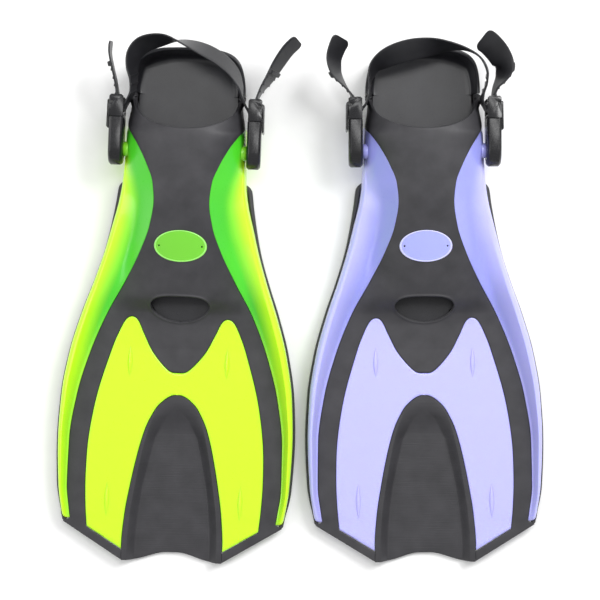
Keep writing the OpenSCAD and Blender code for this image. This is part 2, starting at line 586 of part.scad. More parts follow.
// Strap routes: x, y, z and lean of the band, from the left tab over the heel to the right tab. The
// bends round the bars go between the second and third lists.
LIME_TAB_L = [[-67.5, 221, 40, 0], [-68, 211, 39, 0], [-65.5, 198.5, 37, 0], [-62.5, 186, 34.5, 0]];
LIME_HEEL = [[-50.5, 171.5, 35, 0], [-47.4, 178, 37.5, 4], [-46.6, 188, 40, 12], [-48, 199, 42.5, 22],
    [-46, 210, 44.5, 30], [-38, 218.5, 46, 32], [-22, 222.8, 46.5, 18], [-6, 222, 46, -14], [12, 216.5, 45, -34],
    [28, 208.5, 43.5, -36], [40, 198, 42, -28], [46.4, 186.5, 39.5, -12], [48.6, 177, 36.6, 0],
    [50.6, 171, 34.6, 0]];
LIME_TAB_R = [[64.5, 183, 34, 4], [71.4, 193.5, 36, 14], [79, 207, 38, 22], [87, 219, 40, 24],
    [95.6, 227.6, 41, 24]];
LAVENDER_TAB_L = [[-71.6, 226, 44, -44], [-76, 217.5, 43, -40], [-78.6, 207.5, 41, -36], [-76.4, 197, 39, -28],
    [-69.5, 186, 35.5, -10]];
LAVENDER_HEEL = [[-50.2, 171, 34.8, 0], [-48, 179, 37.5, 0], [-47, 190, 40, 8], [-42.5, 201, 43, 26],
    [-31, 209, 45, 44], [-14, 214.4, 46.5, 50], [4, 217, 46.8, 38], [20, 217.6, 46.6, 14], [36, 215, 46, -4],
    [48, 208.4, 45, -10], [54.4, 197.5, 43, -10], [54.6, 187, 40, -4], [51.6, 177.5, 36.6, 0],
    [50.8, 171, 34.8, 0]];
LAVENDER_TAB_R = [[62.6, 183, 34, -8], [67.5, 192, 36, -26], [69.4, 201, 39, -44], [64.6, 211, 42, -56],
    [57, 219.5, 44.5, -60], [49.6, 224.6, 46, -60]];

// The routes follow the pocket's width, the bar and the heel's end
ROUTE_BAR_Y = 165.5;
ROUTE_Z = 33;
function fit_route(p) = [for (q = p)
    [q[0] + sign(q[0]) * (arm_in() - arm_x) * min(1, abs(q[0]) / 45),
        lookup(q[1], [[ROUTE_BAR_Y, bar_y], [171.5, max(sy(171.5), bar_y + 4)], [179.5, max(sy(179.5), bar_y + 8)],
            [POCKET_LEN0, pocket_len], [POCKET_LEN0 + 50, pocket_len + 50]]),
        q[2] - ROUTE_Z + post_z, q[3]]];
function bar_bend(s) = [for (a = [0 : 45 : 180])
    [s * (bar_x + bend_r * cos(a)), bar_y - bend_r * sin(a), post_z, 0]];
function turned(p) = [for (i = [len(p) - 1 : -1 : 0]) p[i]];
function route(lavender) =
    let(exit_y = frame_y0 + frame_len - 2, out_x = bar_x + bend_r)
    concat(fit_route(lavender ? LAVENDER_TAB_L : LIME_TAB_L), [[-out_x, exit_y, post_z, 0]], bar_bend(-1),
        fit_route(lavender ? LAVENDER_HEEL : LIME_HEEL), turned(bar_bend(1)), [[out_x, exit_y, post_z, 0]],
        fit_route(lavender ? LAVENDER_TAB_R : LIME_TAB_R));

// Running length along a route, and the route as tables against that length
function lengths(p, i = 1, out = [0]) = i >= len(p) ? out :
    lengths(p, i + 1, concat(out, [out[i - 1] + norm([for (c = [0 : 2]) p[i][c] - p[i - 1][c]])]));
function unit(v) = v / norm(v);
function on_route(t, s) = [for (c = [0 : 3]) lookup(s, t[c])];
function point(t, s) = let(q = on_route(t, s)) [q[0], q[1], q[2]];

// Sawtooth over a toothed stretch: each tooth rises slowly and drops at once. A higher block across
// the tab's end stops the band from pulling out. The teeth near the other end of the strap are the
// same ones counted from there
TOOTH = [[0, 0], [2.4, 1], [2.9, 0]];
function teeth_at(first, count) =
    [for (k = [0 : count - 1]) each [for (m = TOOTH) [first + k * tooth_pitch + m[0], m[1]]]];
function turned_teeth(total, p) = [for (m = turned(p)) [total - m[0], m[1]]];
function between(a, b, pitch) = let(n = max(1, round((b - a) / pitch))) [for (k = [1 : n - 1]) [mix(a, b, k / n), 0]];
STOP = [[1.5, 0], [1.8, 1.9], [5.4, 1.9], [5.9, 0]];
tab_teeth = 4;
heel_teeth = 3;
// Smooth length of band beside the pocket, between the bar and the heel's teeth
heel_start = sy(RIM_Y + RIM_SWEEP) - bar_y + 2;
module strap(lavender) {
    path = curve(route(lavender), 5);
    far = lengths(path);
    total = far[len(far) - 1];
    table = [for (c = [0 : 3]) [for (i = [0 : len(path) - 1]) [far[i], path[i][c]]]];
    // Running lengths, from either end, where the band reaches the bar
    near_left = [for (i = [0 : len(path) - 1]) if (path[i][1] < bar_y) far[i]][0];
    near_right = total - [for (i = [len(path) - 1 : -1 : 0]) if (path[i][1] < bar_y) far[i]][0];
    function end_teeth(near) = concat(
        [[0, 0], [0.9, 0]],
        STOP,
        between(STOP[3][0], near - 6 - tab_teeth * tooth_pitch, 6),
        teeth_at(near - 6 - tab_teeth * tooth_pitch, tab_teeth),
        between(near - 5, near + 2 * bend_r + heel_start, 2.2),
        teeth_at(near + 2 * bend_r + heel_start, heel_teeth));
    left = end_teeth(near_left);
    right = end_teeth(near_right);
    marks = concat(left, between(left[len(left) - 1][0], total - right[len(right) - 1][0], 7),
        turned_teeth(total, right));
    frames = [for (m = marks) let(s = m[0], q = on_route(table, s),
        t = unit(point(table, min(total, s + 0.6)) - point(table, max(0, s - 0.6))),
        n = unit(cross([0, 0, 1], t)), up = cross(t, n),
        w = cos(q[3]) * up + sin(q[3]) * n, f = cos(q[3]) * n - sin(q[3]) * up,
        end = min(s, total - s), half = strap_w / 2 * (end < 1 ? 0.55 : end < 2 ? 0.84 : 1))
        [[q[0], q[1], q[2]], w * half, f, m[1]]];
    color(CHARCOAL)
        sheet([for (r = frames) let(o = r[0] + r[2] * strap_t / 2) [o - r[1], o + r[1]]],
            [for (r = frames) let(o = r[0] - r[2] * (strap_t / 2 + tooth_h * r[3])) [o - r[1], o + r[1]]]);
}
// ---- The pieces by name

place(LIME) blade(LIME);  // lime_blade
place(LIME) wing(true, LIME);  // lime_left_wing
place(LIME) wing(false, LIME);  // lime_right_wing
place(LIME) foot_pocket();  // lime_foot_pocket
place(LIME) foot_bed();  // lime_foot_bed
place(LIME) sole();  // lime_sole
place(LIME) deck_rubber();  // lime_deck_rubber
place(LIME) channel();  // lime_channel
place(LIME) edge(true);  // lime_left_edge
place(LIME) edge(false);  // lime_right_edge
place(LIME) badge(LIME);  // lime_badge
place(LIME) strap(LIME);  // lime_strap
place(LIME) post_cap(true);  // lime_left_post_cap
place(LIME) arm(true);  // lime_left_arm
place(LIME) frame(true);  // lime_left_frame
place(LIME) pawl(true);  // lime_left_pawl
place(LIME) pawl_pin(true);  // lime_left_pawl_pin
place(LIME) post_cap(false);  // lime_right_post_cap
place(LIME) arm(false);  // lime_right_arm
place(LIME) frame(false);  // lime_right_frame
place(LIME) pawl(false);  // lime_right_pawl
place(LIME) pawl_pin(false);  // lime_right_pawl_pin
place(LAVENDER) blade(LAVENDER);  // lavender_blade
place(LAVENDER) wing(true, LAVENDER);  // lavender_left_wing
place(LAVENDER) wing(false, LAVENDER);  // lavender_right_wing
place(LAVENDER) foot_pocket();  // lavender_foot_pocket
place(LAVENDER) foot_bed();  // lavender_foot_bed
place(LAVENDER) sole();  // lavender_sole
place(LAVENDER) deck_rubber();  // lavender_deck_rubber
place(LAVENDER) channel();  // lavender_channel
place(LAVENDER) edge(true);  // lavender_left_edge
place(LAVENDER) edge(false);  // lavender_right_edge
place(LAVENDER) badge(LAVENDER);  // lavender_badge
place(LAVENDER) strap(LAVENDER);  // lavender_strap
place(LAVENDER) post_cap(true);  // lavender_left_post_cap
place(LAVENDER) arm(true);  // lavender_left_arm
place(LAVENDER) frame(true);  // lavender_left_frame
place(LAVENDER) pawl(true);  // lavender_left_pawl
place(LAVENDER) pawl_pin(true);  // lavender_left_pawl_pin
place(LAVENDER) post_cap(false);  // lavender_right_post_cap
place(LAVENDER) arm(false);  // lavender_right_arm
place(LAVENDER) frame(false);  // lavender_right_frame
place(LAVENDER) pawl(false);  // lavender_right_pawl
place(LAVENDER) pawl_pin(false);  // lavender_right_pawl_pin
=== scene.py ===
"""A pair of open-heel travel fins, lime and lavender, on a pale floor.

Each fin is worked out in millimetres in its own frame, x across, y from the blade to the heel and z up,
with y = 0 at the heel side of the drain vent. place() turns that into the pair's frame in metres.
"""

import json
import math

import bmesh
import bpy
import numpy as np
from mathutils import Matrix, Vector


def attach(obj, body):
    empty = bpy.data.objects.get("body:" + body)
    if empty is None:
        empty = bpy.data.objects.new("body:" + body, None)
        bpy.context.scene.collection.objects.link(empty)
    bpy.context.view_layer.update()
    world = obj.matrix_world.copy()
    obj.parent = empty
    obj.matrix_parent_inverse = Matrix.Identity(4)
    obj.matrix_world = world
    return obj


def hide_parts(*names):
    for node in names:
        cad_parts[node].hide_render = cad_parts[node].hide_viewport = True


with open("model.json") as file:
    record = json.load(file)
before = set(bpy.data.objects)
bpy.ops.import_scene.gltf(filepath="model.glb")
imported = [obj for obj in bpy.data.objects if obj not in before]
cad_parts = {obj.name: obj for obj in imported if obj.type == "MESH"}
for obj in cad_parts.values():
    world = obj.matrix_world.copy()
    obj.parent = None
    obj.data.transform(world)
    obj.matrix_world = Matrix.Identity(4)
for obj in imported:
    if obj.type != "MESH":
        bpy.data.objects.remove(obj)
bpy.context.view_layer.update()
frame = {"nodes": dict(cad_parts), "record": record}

BODY_OF = {n: b for b, nodes in frame["record"]["behaviour"]["bodies"].items() for n in nodes}
MM = 0.001
FINS = {"lime": (-110.48, -2.2), "lavender": (110.62, 0.4)}
PAIR_Y = 2.38
WIDEST_Y = -128

# ---- Sizes of one fin, in millimetres

# Side wing: station, border with the rubber (x, z), valley (x, z), crest (x, z), outer wall x
WING = np.array([
    [-199, 91.5, 10.6, 92.6, 11.0, 95.0, 13.0, 97.6],
    [-192, 92.5, 11.2, 93.8, 11.8, 96.6, 15.5, 99.0],
    [-168, 95.2, 11.2, 96.6, 12.0, 99.6, 18.0, 102.3],
    [-128, 94.6, 11.2, 96.4, 12.3, 100.0, 21.0, 103.8],
    [-88, 89.0, 11.2, 91.4, 12.5, 97.0, 23.5, 101.9],
    [-50, 78.4, 11.3, 81.5, 13.0, 90.0, 25.5, 95.7],
    [-15, 64.2, 12.6, 69.5, 15.0, 80.0, 27.0, 85.8],
    [14, 48.2, 23.0, 58.0, 20.5, 70.5, 28.0, 75.7],
    [40, 35.2, 38.0, 48.0, 26.5, 62.5, 29.5, 67.6],
    [62, 27.2, 48.0, 41.5, 33.5, 56.5, 31.0, 62.0],
    [83, 24.0, 54.0, 38.5, 39.5, 52.0, 33.0, 56.8],
    [99, 25.6, 55.5, 41.0, 42.0, 51.0, 33.0, 54.4],
    [115, 31.6, 54.5, 46.0, 40.5, 51.4, 31.0, 53.4],
    [131, 40.0, 50.0, 49.8, 38.0, 52.0, 28.0, 52.8],
    [142, 47.2, 42.0, 51.2, 32.0, 52.1, 24.0, 52.6],
    [150, 51.5, 21.5, 51.9, 19.0, 52.1, 16.0, 52.5],
    [166, 49.2, 20.0, 49.4, 19.0, 49.6, 16.0, 49.8],
    [180, 48.3, 18.5, 48.5, 18.0, 48.7, 16.0, 48.9]])
CROWN = np.array([[-46, 11.3], [-24, 12.8], [-15, 15.5], [0, 31], [14, 37], [40, 45], [62, 51], [99, 61],
                  [145, 66], [162, 61], [180, 44]])
OUTER = np.array([[-201, 98], [-168, 104.6], [-128, 106.1], [-88, 104.1], [-50, 97.9], [-15, 88], [14, 77.8],
                  [40, 69.8], [62, 65], [83, 61.4], [97, 59.4], [102, 55.6]])
CHANNEL = np.array([[-235, 44.6], [-221, 44.6], [-194, 42.7], [-168, 38.7], [-141, 33.4], [-125, 29.4],
                    [-114, 25.8], [-104, 21], [-98, 17.4], [-93, 12.6], [-89, 6.8], [-87.4, 2.2]])
FOOT = np.array([[-14, 19], [0, 36], [20, 43], [45, 45.8], [100, 46], [180, 46.2]])
HEEL = [[50.6, 180.1], [50.6, 183], [50.1, 190], [48.3, 200], [44.4, 209], [37, 215.3], [25, 218.8],
        [11, 219.9]]
VENT = [[0, 0.5], [14, 0], [22.5, -2.6], [26, -8], [22, -14.5], [12, -20], [0, -22]]
LOBE = [[0, -67.2], [9, -65], [22.5, -50], [31, -34], [37, -21.5], [42.7, -18.2]]
LEG = [[42.7, -18.2], [48.5, -21.8], [54.7, -34.3], [60.5, -50.3], [71.2, -87.7], [77.5, -126], [79, -160],
       [78.2, -186], [76.4, -206.4]]
TOE = [[76.4, -206.4], [44.2, -226.2]]
WALL_X, RIM_Y, RIM_SWEEP = 49.5, 145.5, 34
WING_END, WING_START = -199, 150
SOLE_T, WEB_Z = 5, 6
SEAM = 0.25
RUBBER_T = 3.2

# ---- Curves


def mix(a, b, t):
    """A at t = 0, b at t = 1, and a straight line between."""
    return a + (b - a) * t


def smooth(t):
    """Smooth step: 3 u squared less 2 u cubed, with u held between 0 and 1."""
    u = np.clip(t, 0, 1)
    return u * u * (3 - 2 * u)


def read(table, y, c):
    """Monotone cubic through column c of a table against its first column: Hermite spans whose slopes
    are the harmonic means of the steps on both sides."""
    x, v = table[:, 0], table[:, c]
    h = np.diff(x)
    step = np.diff(v) / h
    a, b = step[:-1], step[1:]
    slope = np.concatenate([step[:1], np.where(a * b <= 0, 0, 2 * a * b / np.where(a + b == 0, 1, a + b)),
                            step[-1:]])
    i = np.clip(np.searchsorted(x, y) - 1, 0, len(x) - 2)
    u = np.clip((y - x[i]) / h[i], 0, 1)
    return ((2 * u**3 - 3 * u**2 + 1) * v[i] + (u**3 - 2 * u**2 + u) * h[i] * slope[i]
            + (3 * u**2 - 2 * u**3) * v[i + 1] + (u**3 - u**2) * h[i] * slope[i + 1])


def curve(points, where):
    """Catmull-Rom curve through points: where is a number of steps to a span, or places counted in
    spans from 0."""
    p = np.asarray(points, float)
    last = len(p) - 1
    w = np.linspace(0, last, last * where + 1) if np.isscalar(where) else np.asarray(where, float)
    i = np.clip(w.astype(int), 0, last - 1)
    u = (w - i).reshape([-1] + [1] * (p.ndim - 1))
    a, b, c, d = p[np.maximum(i - 1, 0)], p[i], p[i + 1], p[np.minimum(i + 2, last)]
    return 0.5 * (2 * b + (c - a) * u + (2 * a - 5 * b + 4 * c - d) * u**2 + (3 * b - a - 3 * c + d) * u**3)


def along(path, where):
    """Points of a polyline at shares of its length."""
    p = np.asarray(path, float)
    far = np.concatenate([[0], np.cumsum(np.linalg.norm(np.diff(p, axis=0), axis=1))])
    s = np.asarray(where) * far[-1]
    return np.stack([np.interp(s, far, p[:, k]) for k in range(p.shape[1])], -1)


def between(path, start, end, n):
    """n + 1 even points of a polyline from its corner nearest to start to the one nearest to end."""
    p = np.asarray(path, float)
    i, j = (int(np.argmin(np.linalg.norm(p - np.asarray(q), axis=1))) for q in (start, end))
    return along(p[i:j + 1], np.linspace(0, 1, n + 1))


def chained(path, corners, counts):
    """Polyline resampled between chosen corners, so many steps to each stretch."""
    parts = [between(path, a, b, n) for a, b, n in zip(corners, corners[1:], counts)]
    return np.concatenate([parts[0]] + [q[1:] for q in parts[1:]])


def ruled(a, b, near, far, n):
    """Grid of straight rulings from line a to line b, with extra columns at the given distances from
    both lines and n even steps between them."""
    length = np.linalg.norm(b - a, axis=1)[:, None]
    near, far = np.asarray(near, float)[None], np.asarray(far, float)[None]
    lo = np.minimum(near, length * 0.4 * (near + 1e-9) / (near.max() + 1e-9)) / np.maximum(length, 1e-9)
    hi = np.minimum(far, length * 0.4 * (far + 1e-9) / (far.max() + 1e-9)) / np.maximum(length, 1e-9)
    even = lo[:, -1:] + (1 - hi[:, -1:] - lo[:, -1:]) * np.linspace(0, 1, n + 1)[None]
    shares = np.concatenate([lo[:, :-1], even, 1 - hi[:, :-1][:, ::-1]], 1)
    return a[:, None] + (b - a)[:, None] * shares[..., None]


def rounded(distance, r):
    """Drop of a rounded edge of radius r at a distance from the edge."""
    return r - np.sqrt(np.maximum(0, r * r - np.maximum(0, r - distance) ** 2))


def edge_distance(p, line):
    """Distance of each point from the nearest segment of a line."""
    a, b = line[:-1], line[1:]
    keep = np.linalg.norm(b - a, axis=1) > 1e-9
    a, b = a[keep], b[keep]
    flat = p.reshape(-1, 2)
    best = np.full(len(flat), np.inf)
    for s in range(0, len(flat), 4000):
        q = flat[s:s + 4000, None]
        d = b - a
        t = np.clip(((q - a) * d).sum(-1) / (d * d).sum(-1), 0, 1)
        best[s:s + 4000] = np.linalg.norm(q - a - t[..., None] * d, axis=-1).min(1)
    return best.reshape(p.shape[:-1])


# ---- Shape of the fin


def border_x(y):
    """Half width at which rubber and wing meet: the wing table's column 1."""
    return read(WING, y, 1)


def border_z(y):
    """Height at which rubber and wing meet: the wing table's column 2."""
    return read(WING, y, 2)


def wall_x(y):
    """Outside of the pocket's side wall: the border, or a constant that shrinks by three hundredths
    past the wing's start, whichever is wider."""
    return np.maximum(border_x(y), WALL_X * mix(1, 0.97, smooth((y - WING_START) / 16)))


def skin_z(x, y):
    """Height of the rubber skin: from the border's height to the crown's as a bell across the fin over
    the toes, turning into a half ellipse towards the rim."""
    t = np.minimum(1, np.abs(x) / border_x(y))
    arch = smooth((y - 105) / 45)
    low = border_z(y)
    return low + (read(CROWN, y, 1) - low) * (1 - t ** mix(2.2, 2, arch)) ** mix(1, 0.5, arch)


def under_wing(y, t, inset):
    """Curve under the wing at station y: a cubic Bezier from the border down to the pocket's side."""
    x, w, z = border_x(y), wall_x(y), border_z(y) - 3
    foot = np.minimum(8, z * 0.6)
    p = [(x, z), (mix(x, w, 0.45), mix(z, foot, 0.3)), (w, mix(z, foot, 0.45)), (w, foot)]
    k = [(1 - t) ** 3, 3 * (1 - t) ** 2 * t, 3 * (1 - t) * t**2, t**3]
    return sum(k[i] * p[i][0] for i in range(4)) - inset, sum(k[i] * p[i][1] for i in range(4)) - inset


def rim_y(a):
    """Station of the pocket's rim: furthest towards the toes at the crown, swept back down the sides."""
    return RIM_Y + RIM_SWEEP * (1 - np.cos(np.minimum(a, math.pi / 2)))


# ---- Meshes


def place(fin, p):
    """Millimetres in the fin's own frame to metres in the pair's: a turn about the widest section."""
    middle, yaw = FINS[fin]
    c, s = math.cos(math.radians(yaw)), math.sin(math.radians(yaw))
    x, y = p[..., 0], p[..., 1] - WIDEST_Y
    return MM * np.stack([middle + x * c - y * s, WIDEST_Y + PAIR_Y + x * s + y * c, p[..., 2]], -1)


def grid_faces(rows, cols, around=False):
    """Quads of a grid of points counted row by row; around joins the last column to the first."""
    i, j = np.meshgrid(np.arange(rows - 1), np.arange(cols if around else cols - 1), indexing="ij")
    k = (j + 1) % cols
    corners = [i * cols + j, (i + 1) * cols + j, (i + 1) * cols + k, i * cols + k]
    return np.stack(corners, -1).reshape(-1, 4)


def slab(top, low):
    """Closed shell between two grids of one size: both grids and the walls along their four sides,
    apart from a side in the fin's middle plane, where the mirrored half goes on."""
    rows, cols = top.shape[:2]
    n = rows * cols
    points = np.concatenate([top.reshape(-1, 3), low.reshape(-1, 3)])
    upper = grid_faces(rows, cols)
    i = np.arange(n).reshape(rows, cols)
    loop = np.concatenate([i[0, :-1], i[:-1, -1], i[-1, :0:-1], i[:0:-1, 0]])
    after = np.roll(loop, -1)
    walls = np.stack([loop, after, after + n, loop + n], -1)
    walls = walls[np.abs(points[walls, 0]).max(1) > 1e-6]
    return points, np.concatenate([upper, upper[:, ::-1] + n, walls])


def tube(rings):
    """Closed shell through rings of points, each end filled by a fan round its middle."""
    rows, cols = rings.shape[:2]
    points = np.concatenate([rings.reshape(-1, 3), rings[0].mean(0)[None], rings[-1].mean(0)[None]])
    j = np.arange(cols)
    k = (j + 1) % cols
    n = rows * cols
    first = np.stack([j, k, np.full(cols, n)], -1)
    last = np.stack([n - cols + k, n - cols + j, np.full(cols, n + 1)], -1)
    return points, [*grid_faces(rows, cols, around=True), *first, *last]


def volume(points, faces):
    """Signed volume of a closed shell, from the tetrahedra of its faces' fans."""
    total = 0.0
    for f in faces:
        a = points[f[0]]
        for k in range(1, len(f) - 1):
            total += np.dot(a, np.cross(points[f[k]], points[f[k + 1]]))
    return total / 6


def mirrored(points):
    """Points with x turned round."""
    return points * np.array([-1, 1, 1])


class Piece:
    """Shells gathered in one fin's frame, then made into one object with outward faces."""

    def __init__(self):
        self.points, self.faces, self.marks = [], [], []
        self.count = 0

    def add(self, shell, closed=True, mark=None):
        """Adds a shell. A closed one is turned to face outwards, an open one to face up."""
        points, faces = shell
        faces = [tuple(int(v) for v in f) for f in faces]
        if closed and volume(points, faces) < 0:
            faces = [f[::-1] for f in faces]
        if not closed:
            corners = points[np.array(faces)]
            up = np.cross(corners[:, 2] - corners[:, 0], corners[:, 3] - corners[:, 1])[:, 2].sum()
            faces = faces if up > 0 else [f[::-1] for f in faces]
        self.points.append(points)
        self.faces += [tuple(v + self.count for v in f) for f in faces]
        self.marks.append(np.zeros(len(points)) if mark is None else np.broadcast_to(mark, len(points)))
        self.count += len(points)
        return self

    def both(self, shell, closed=True, mark=None):
        """Adds the right half and its mirror image."""
        return self.add(shell, closed, mark).add((mirrored(shell[0]), shell[1]), closed, mark)

    def patch(self, grid):
        """Adds a grid as an open patch of the right half, with its mirror image."""
        return self.both((grid.reshape(-1, 3), grid_faces(*grid.shape[:2])), closed=False)

    def make(self, name, fin, nodes, paint, sharp=35, mark_name=None):
        """Places the points in the pair, merges equal ones, marks as sharp the edges that turn by more
        than the given angle, and hands the object to the frame in place of its nodes."""
        points = place(fin, np.concatenate(self.points))
        mesh = bpy.data.meshes.new(name)
        mesh.from_pydata(points.tolist(), [], self.faces)
        if mark_name:
            data = mesh.attributes.new(mark_name, "FLOAT", "POINT")
            data.data.foreach_set("value", np.concatenate(self.marks))
        work = bmesh.new()
        work.from_mesh(mesh)
        bmesh.ops.remove_doubles(work, verts=work.verts, dist=2e-6)
        bmesh.ops.dissolve_degenerate(work, edges=work.edges, dist=1e-6)
        work.to_mesh(mesh)
        work.free()
        mesh.shade_smooth()
        mesh.set_sharp_from_angle(angle=math.radians(sharp))
        mesh.materials.append(paint)
        piece = bpy.data.objects.new(name, mesh)
        bpy.context.scene.collection.objects.link(piece)
        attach(piece, BODY_OF[nodes[0]])
        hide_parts(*nodes)
        return piece


# ---- Materials


def shader(name):
    """A material with only its Principled shader, its nodes and a function that links two sockets."""
    m = bpy.data.materials.new(name)
    m.use_nodes = True
    nodes = m.node_tree.nodes
    return m, nodes, nodes["Principled BSDF"], m.node_tree.links.new


def noise(nodes, link, coords, scale, detail=4, stretch=None):
    """Noise from 0 to 1 at the coordinates, which are first multiplied by stretch if it is given."""
    n = nodes.new("ShaderNodeTexNoise")
    n.inputs["Scale"].default_value = scale
    n.inputs["Detail"].default_value = detail
    if stretch:
        m = nodes.new("ShaderNodeMapping")
        m.inputs["Scale"].default_value = stretch
        link(coords, m.inputs["Vector"])
        coords = m.outputs["Vector"]
    link(coords, n.inputs["Vector"])
    return n.outputs["Fac"]


def ramp(nodes, link, value, stops):
    """Colours or greys at places from 0 to 1 along a value."""
    r = nodes.new("ShaderNodeValToRGB")
    e = r.color_ramp.elements
    while len(e) < len(stops):
        e.new(0.5)
    for k, (at, c) in enumerate(stops):
        e[k].position = at
        e[k].color = (*c, 1) if isinstance(c, tuple) else (c, c, c, 1)
    link(value, r.inputs["Fac"])
    return r.outputs["Color"]


def bump(nodes, link, bsdf, layers):
    """Bump layers of (height socket, distance in metres), one on the other."""
    last = None
    for height, distance in layers:
        b = nodes.new("ShaderNodeBump")
        b.inputs["Strength"].default_value = 1
        b.inputs["Distance"].default_value = distance
        link(height, b.inputs["Height"])
        if last:
            link(last, b.inputs["Normal"])
        last = b.outputs["Normal"]
    link(last, bsdf.inputs["Normal"])


def object_coords(nodes):
    """Coordinates in the piece's own frame, in metres, so a pattern rides with its piece."""
    return nodes.new("ShaderNodeTexCoord").outputs["Object"]


def rubber(name, dark, light, rough, grain, lines=None):
    """Moulded rubber: mottled between two greys, with a fine grain and faint flow marks; lines are the
    scales of a stretched noise for fine tool marks across the piece."""
    m, nodes, bsdf, link = shader(name)
    at = object_coords(nodes)
    cloud = noise(nodes, link, at, 60, 6)
    link(ramp(nodes, link, cloud, [(0.3, dark), (0.7, light)]), bsdf.inputs["Base Color"])
    fine = noise(nodes, link, at, 1500, 3)
    link(ramp(nodes, link, fine, [(0.3, rough - 0.07), (0.7, rough + 0.07)]), bsdf.inputs["Roughness"])
    layers = [(fine, grain), (cloud, grain * 1.5)]
    if lines:
        layers.append((noise(nodes, link, at, 1, 2, lines), grain * 4))
    bump(nodes, link, bsdf, layers)
    bsdf.inputs["Specular IOR Level"].default_value = 0.45
    return m


def moulded(name, stops, rough, coat=0.25):
    """Translucent moulded plastic: the shade attribute, which holds painted light and shade, runs through the
    colours of the stops.
    """
    m, nodes, bsdf, link = shader(name)
    at = object_coords(nodes)
    shade = nodes.new("ShaderNodeAttribute")
    shade.attribute_name = "shade"
    link(ramp(nodes, link, shade.outputs["Fac"], stops), bsdf.inputs["Base Color"])
    fine = noise(nodes, link, at, 900, 3)
    cloud = noise(nodes, link, at, 25, 3)
    link(ramp(nodes, link, fine, [(0.3, rough - 0.03), (0.7, rough + 0.05)]), bsdf.inputs["Roughness"])
    bump(nodes, link, bsdf, [(fine, 0.00001), (cloud, 0.0001)])
    bsdf.inputs["Coat Weight"].default_value = coat
    bsdf.inputs["Coat Roughness"].default_value = 0.18
    bsdf.inputs["Subsurface Weight"].default_value = 0.25
    bsdf.inputs["Subsurface Radius"].default_value = (0.004, 0.006, 0.002)
    bsdf.inputs["Subsurface Scale"].default_value = 1.0
    return m


CHARCOAL = rubber("charcoal_rubber", (0.026, 0.0255, 0.029), (0.04, 0.039, 0.044), 0.56, 0.00003)
SCOOP = rubber("channel_rubber", (0.026, 0.0255, 0.029), (0.038, 0.037, 0.042), 0.5, 0.00003, (40, 1100, 40))
BED = rubber("foot_bed_rubber", (0.012, 0.012, 0.015), (0.02, 0.02, 0.024), 0.33, 0.000012)
STRAP = rubber("strap_rubber", (0.01, 0.01, 0.012), (0.018, 0.018, 0.021), 0.4, 0.00002)
BUCKLE = rubber("buckle_plastic", (0.006, 0.006, 0.007), (0.011, 0.011, 0.013), 0.24, 0.000008)
PIN = rubber("pin_metal", (0.02, 0.02, 0.02), (0.05, 0.05, 0.05), 0.35, 0.00001)
# Plastic from the painted shade of a wing's inner slope to the painted light on its crest; badge from the
# painted shade in its dimples over the face to the painted highlight on its rim
LIME_STOPS = [(0, (0.07, 0.6, 0.02)), (0.5, (0.3, 0.82, 0.03)), (1, (0.58, 1.0, 0.012))]
LAVENDER_STOPS = [(0, (0.3, 0.32, 0.76)), (1, (0.47, 0.47, 0.9))]
LIME_BADGE = [(0, (0.01, 0.02, 0.005)), (0.12, (0.16, 0.6, 0.03)), (0.3, (0.17, 0.64, 0.03)),
              (1, (0.32, 0.85, 0.16))]
LAVENDER_BADGE = [(0, (0.02, 0.02, 0.03)), (0.12, (0.36, 0.4, 0.8)), (0.3, (0.38, 0.42, 0.82)),
                  (1, (0.6, 0.62, 0.95))]
PLASTIC = {"lime": moulded("lime_plastic", LIME_STOPS, 0.3),
           "lavender": moulded("lavender_plastic", LAVENDER_STOPS, 0.3)}
BADGE = {"lime": moulded("lime_badge", LIME_BADGE, 0.34),
         "lavender": moulded("lavender_badge", LAVENDER_BADGE, 0.34)}


# ---- Rubber upper: the pocket over the foot, the skin round the vent and the bands round the panel

JOIN_Y = 14
VENT_Y = -10.5
LOBE_TOP, TONGUE = np.array(LOBE[5]), np.array(LOBE[3])
CORNER_IN, END_IN = TOE[0], TOE[1]
CORNER_OUT, END_OUT = [97.4, -202.3], [44.2, -235]


def skin(p):
    """Points (x, y) lifted to the rubber skin's height."""
    return np.concatenate([p, skin_z(p[..., 0], p[..., 1])[..., None]], -1)


def border_line(start, end, n):
    """Rubber's outer border in n equal steps of y, one seam inside the wing's."""
    y = np.linspace(start, end, n + 1)
    return np.stack([border_x(y) - SEAM, y], -1)


def joined(*lines):
    """Lines end to end, without the points that they share."""
    return np.concatenate([lines[0]] + [q[1:] for q in lines[1:]])


def straight(a, b, n):
    """Points from a to b in n equal steps, both ends included."""
    return mix(np.asarray(a, float)[None], np.asarray(b, float)[None], np.linspace(0, 1, n + 1)[:, None])


def window_line():
    """Inner edge of the rubber round the panel, from the tongue's end over the lobe and down the leg."""
    return joined(curve([[-9, -65]] + LOBE + LEG[1:], 12)[12:], straight(*TOE, 12))


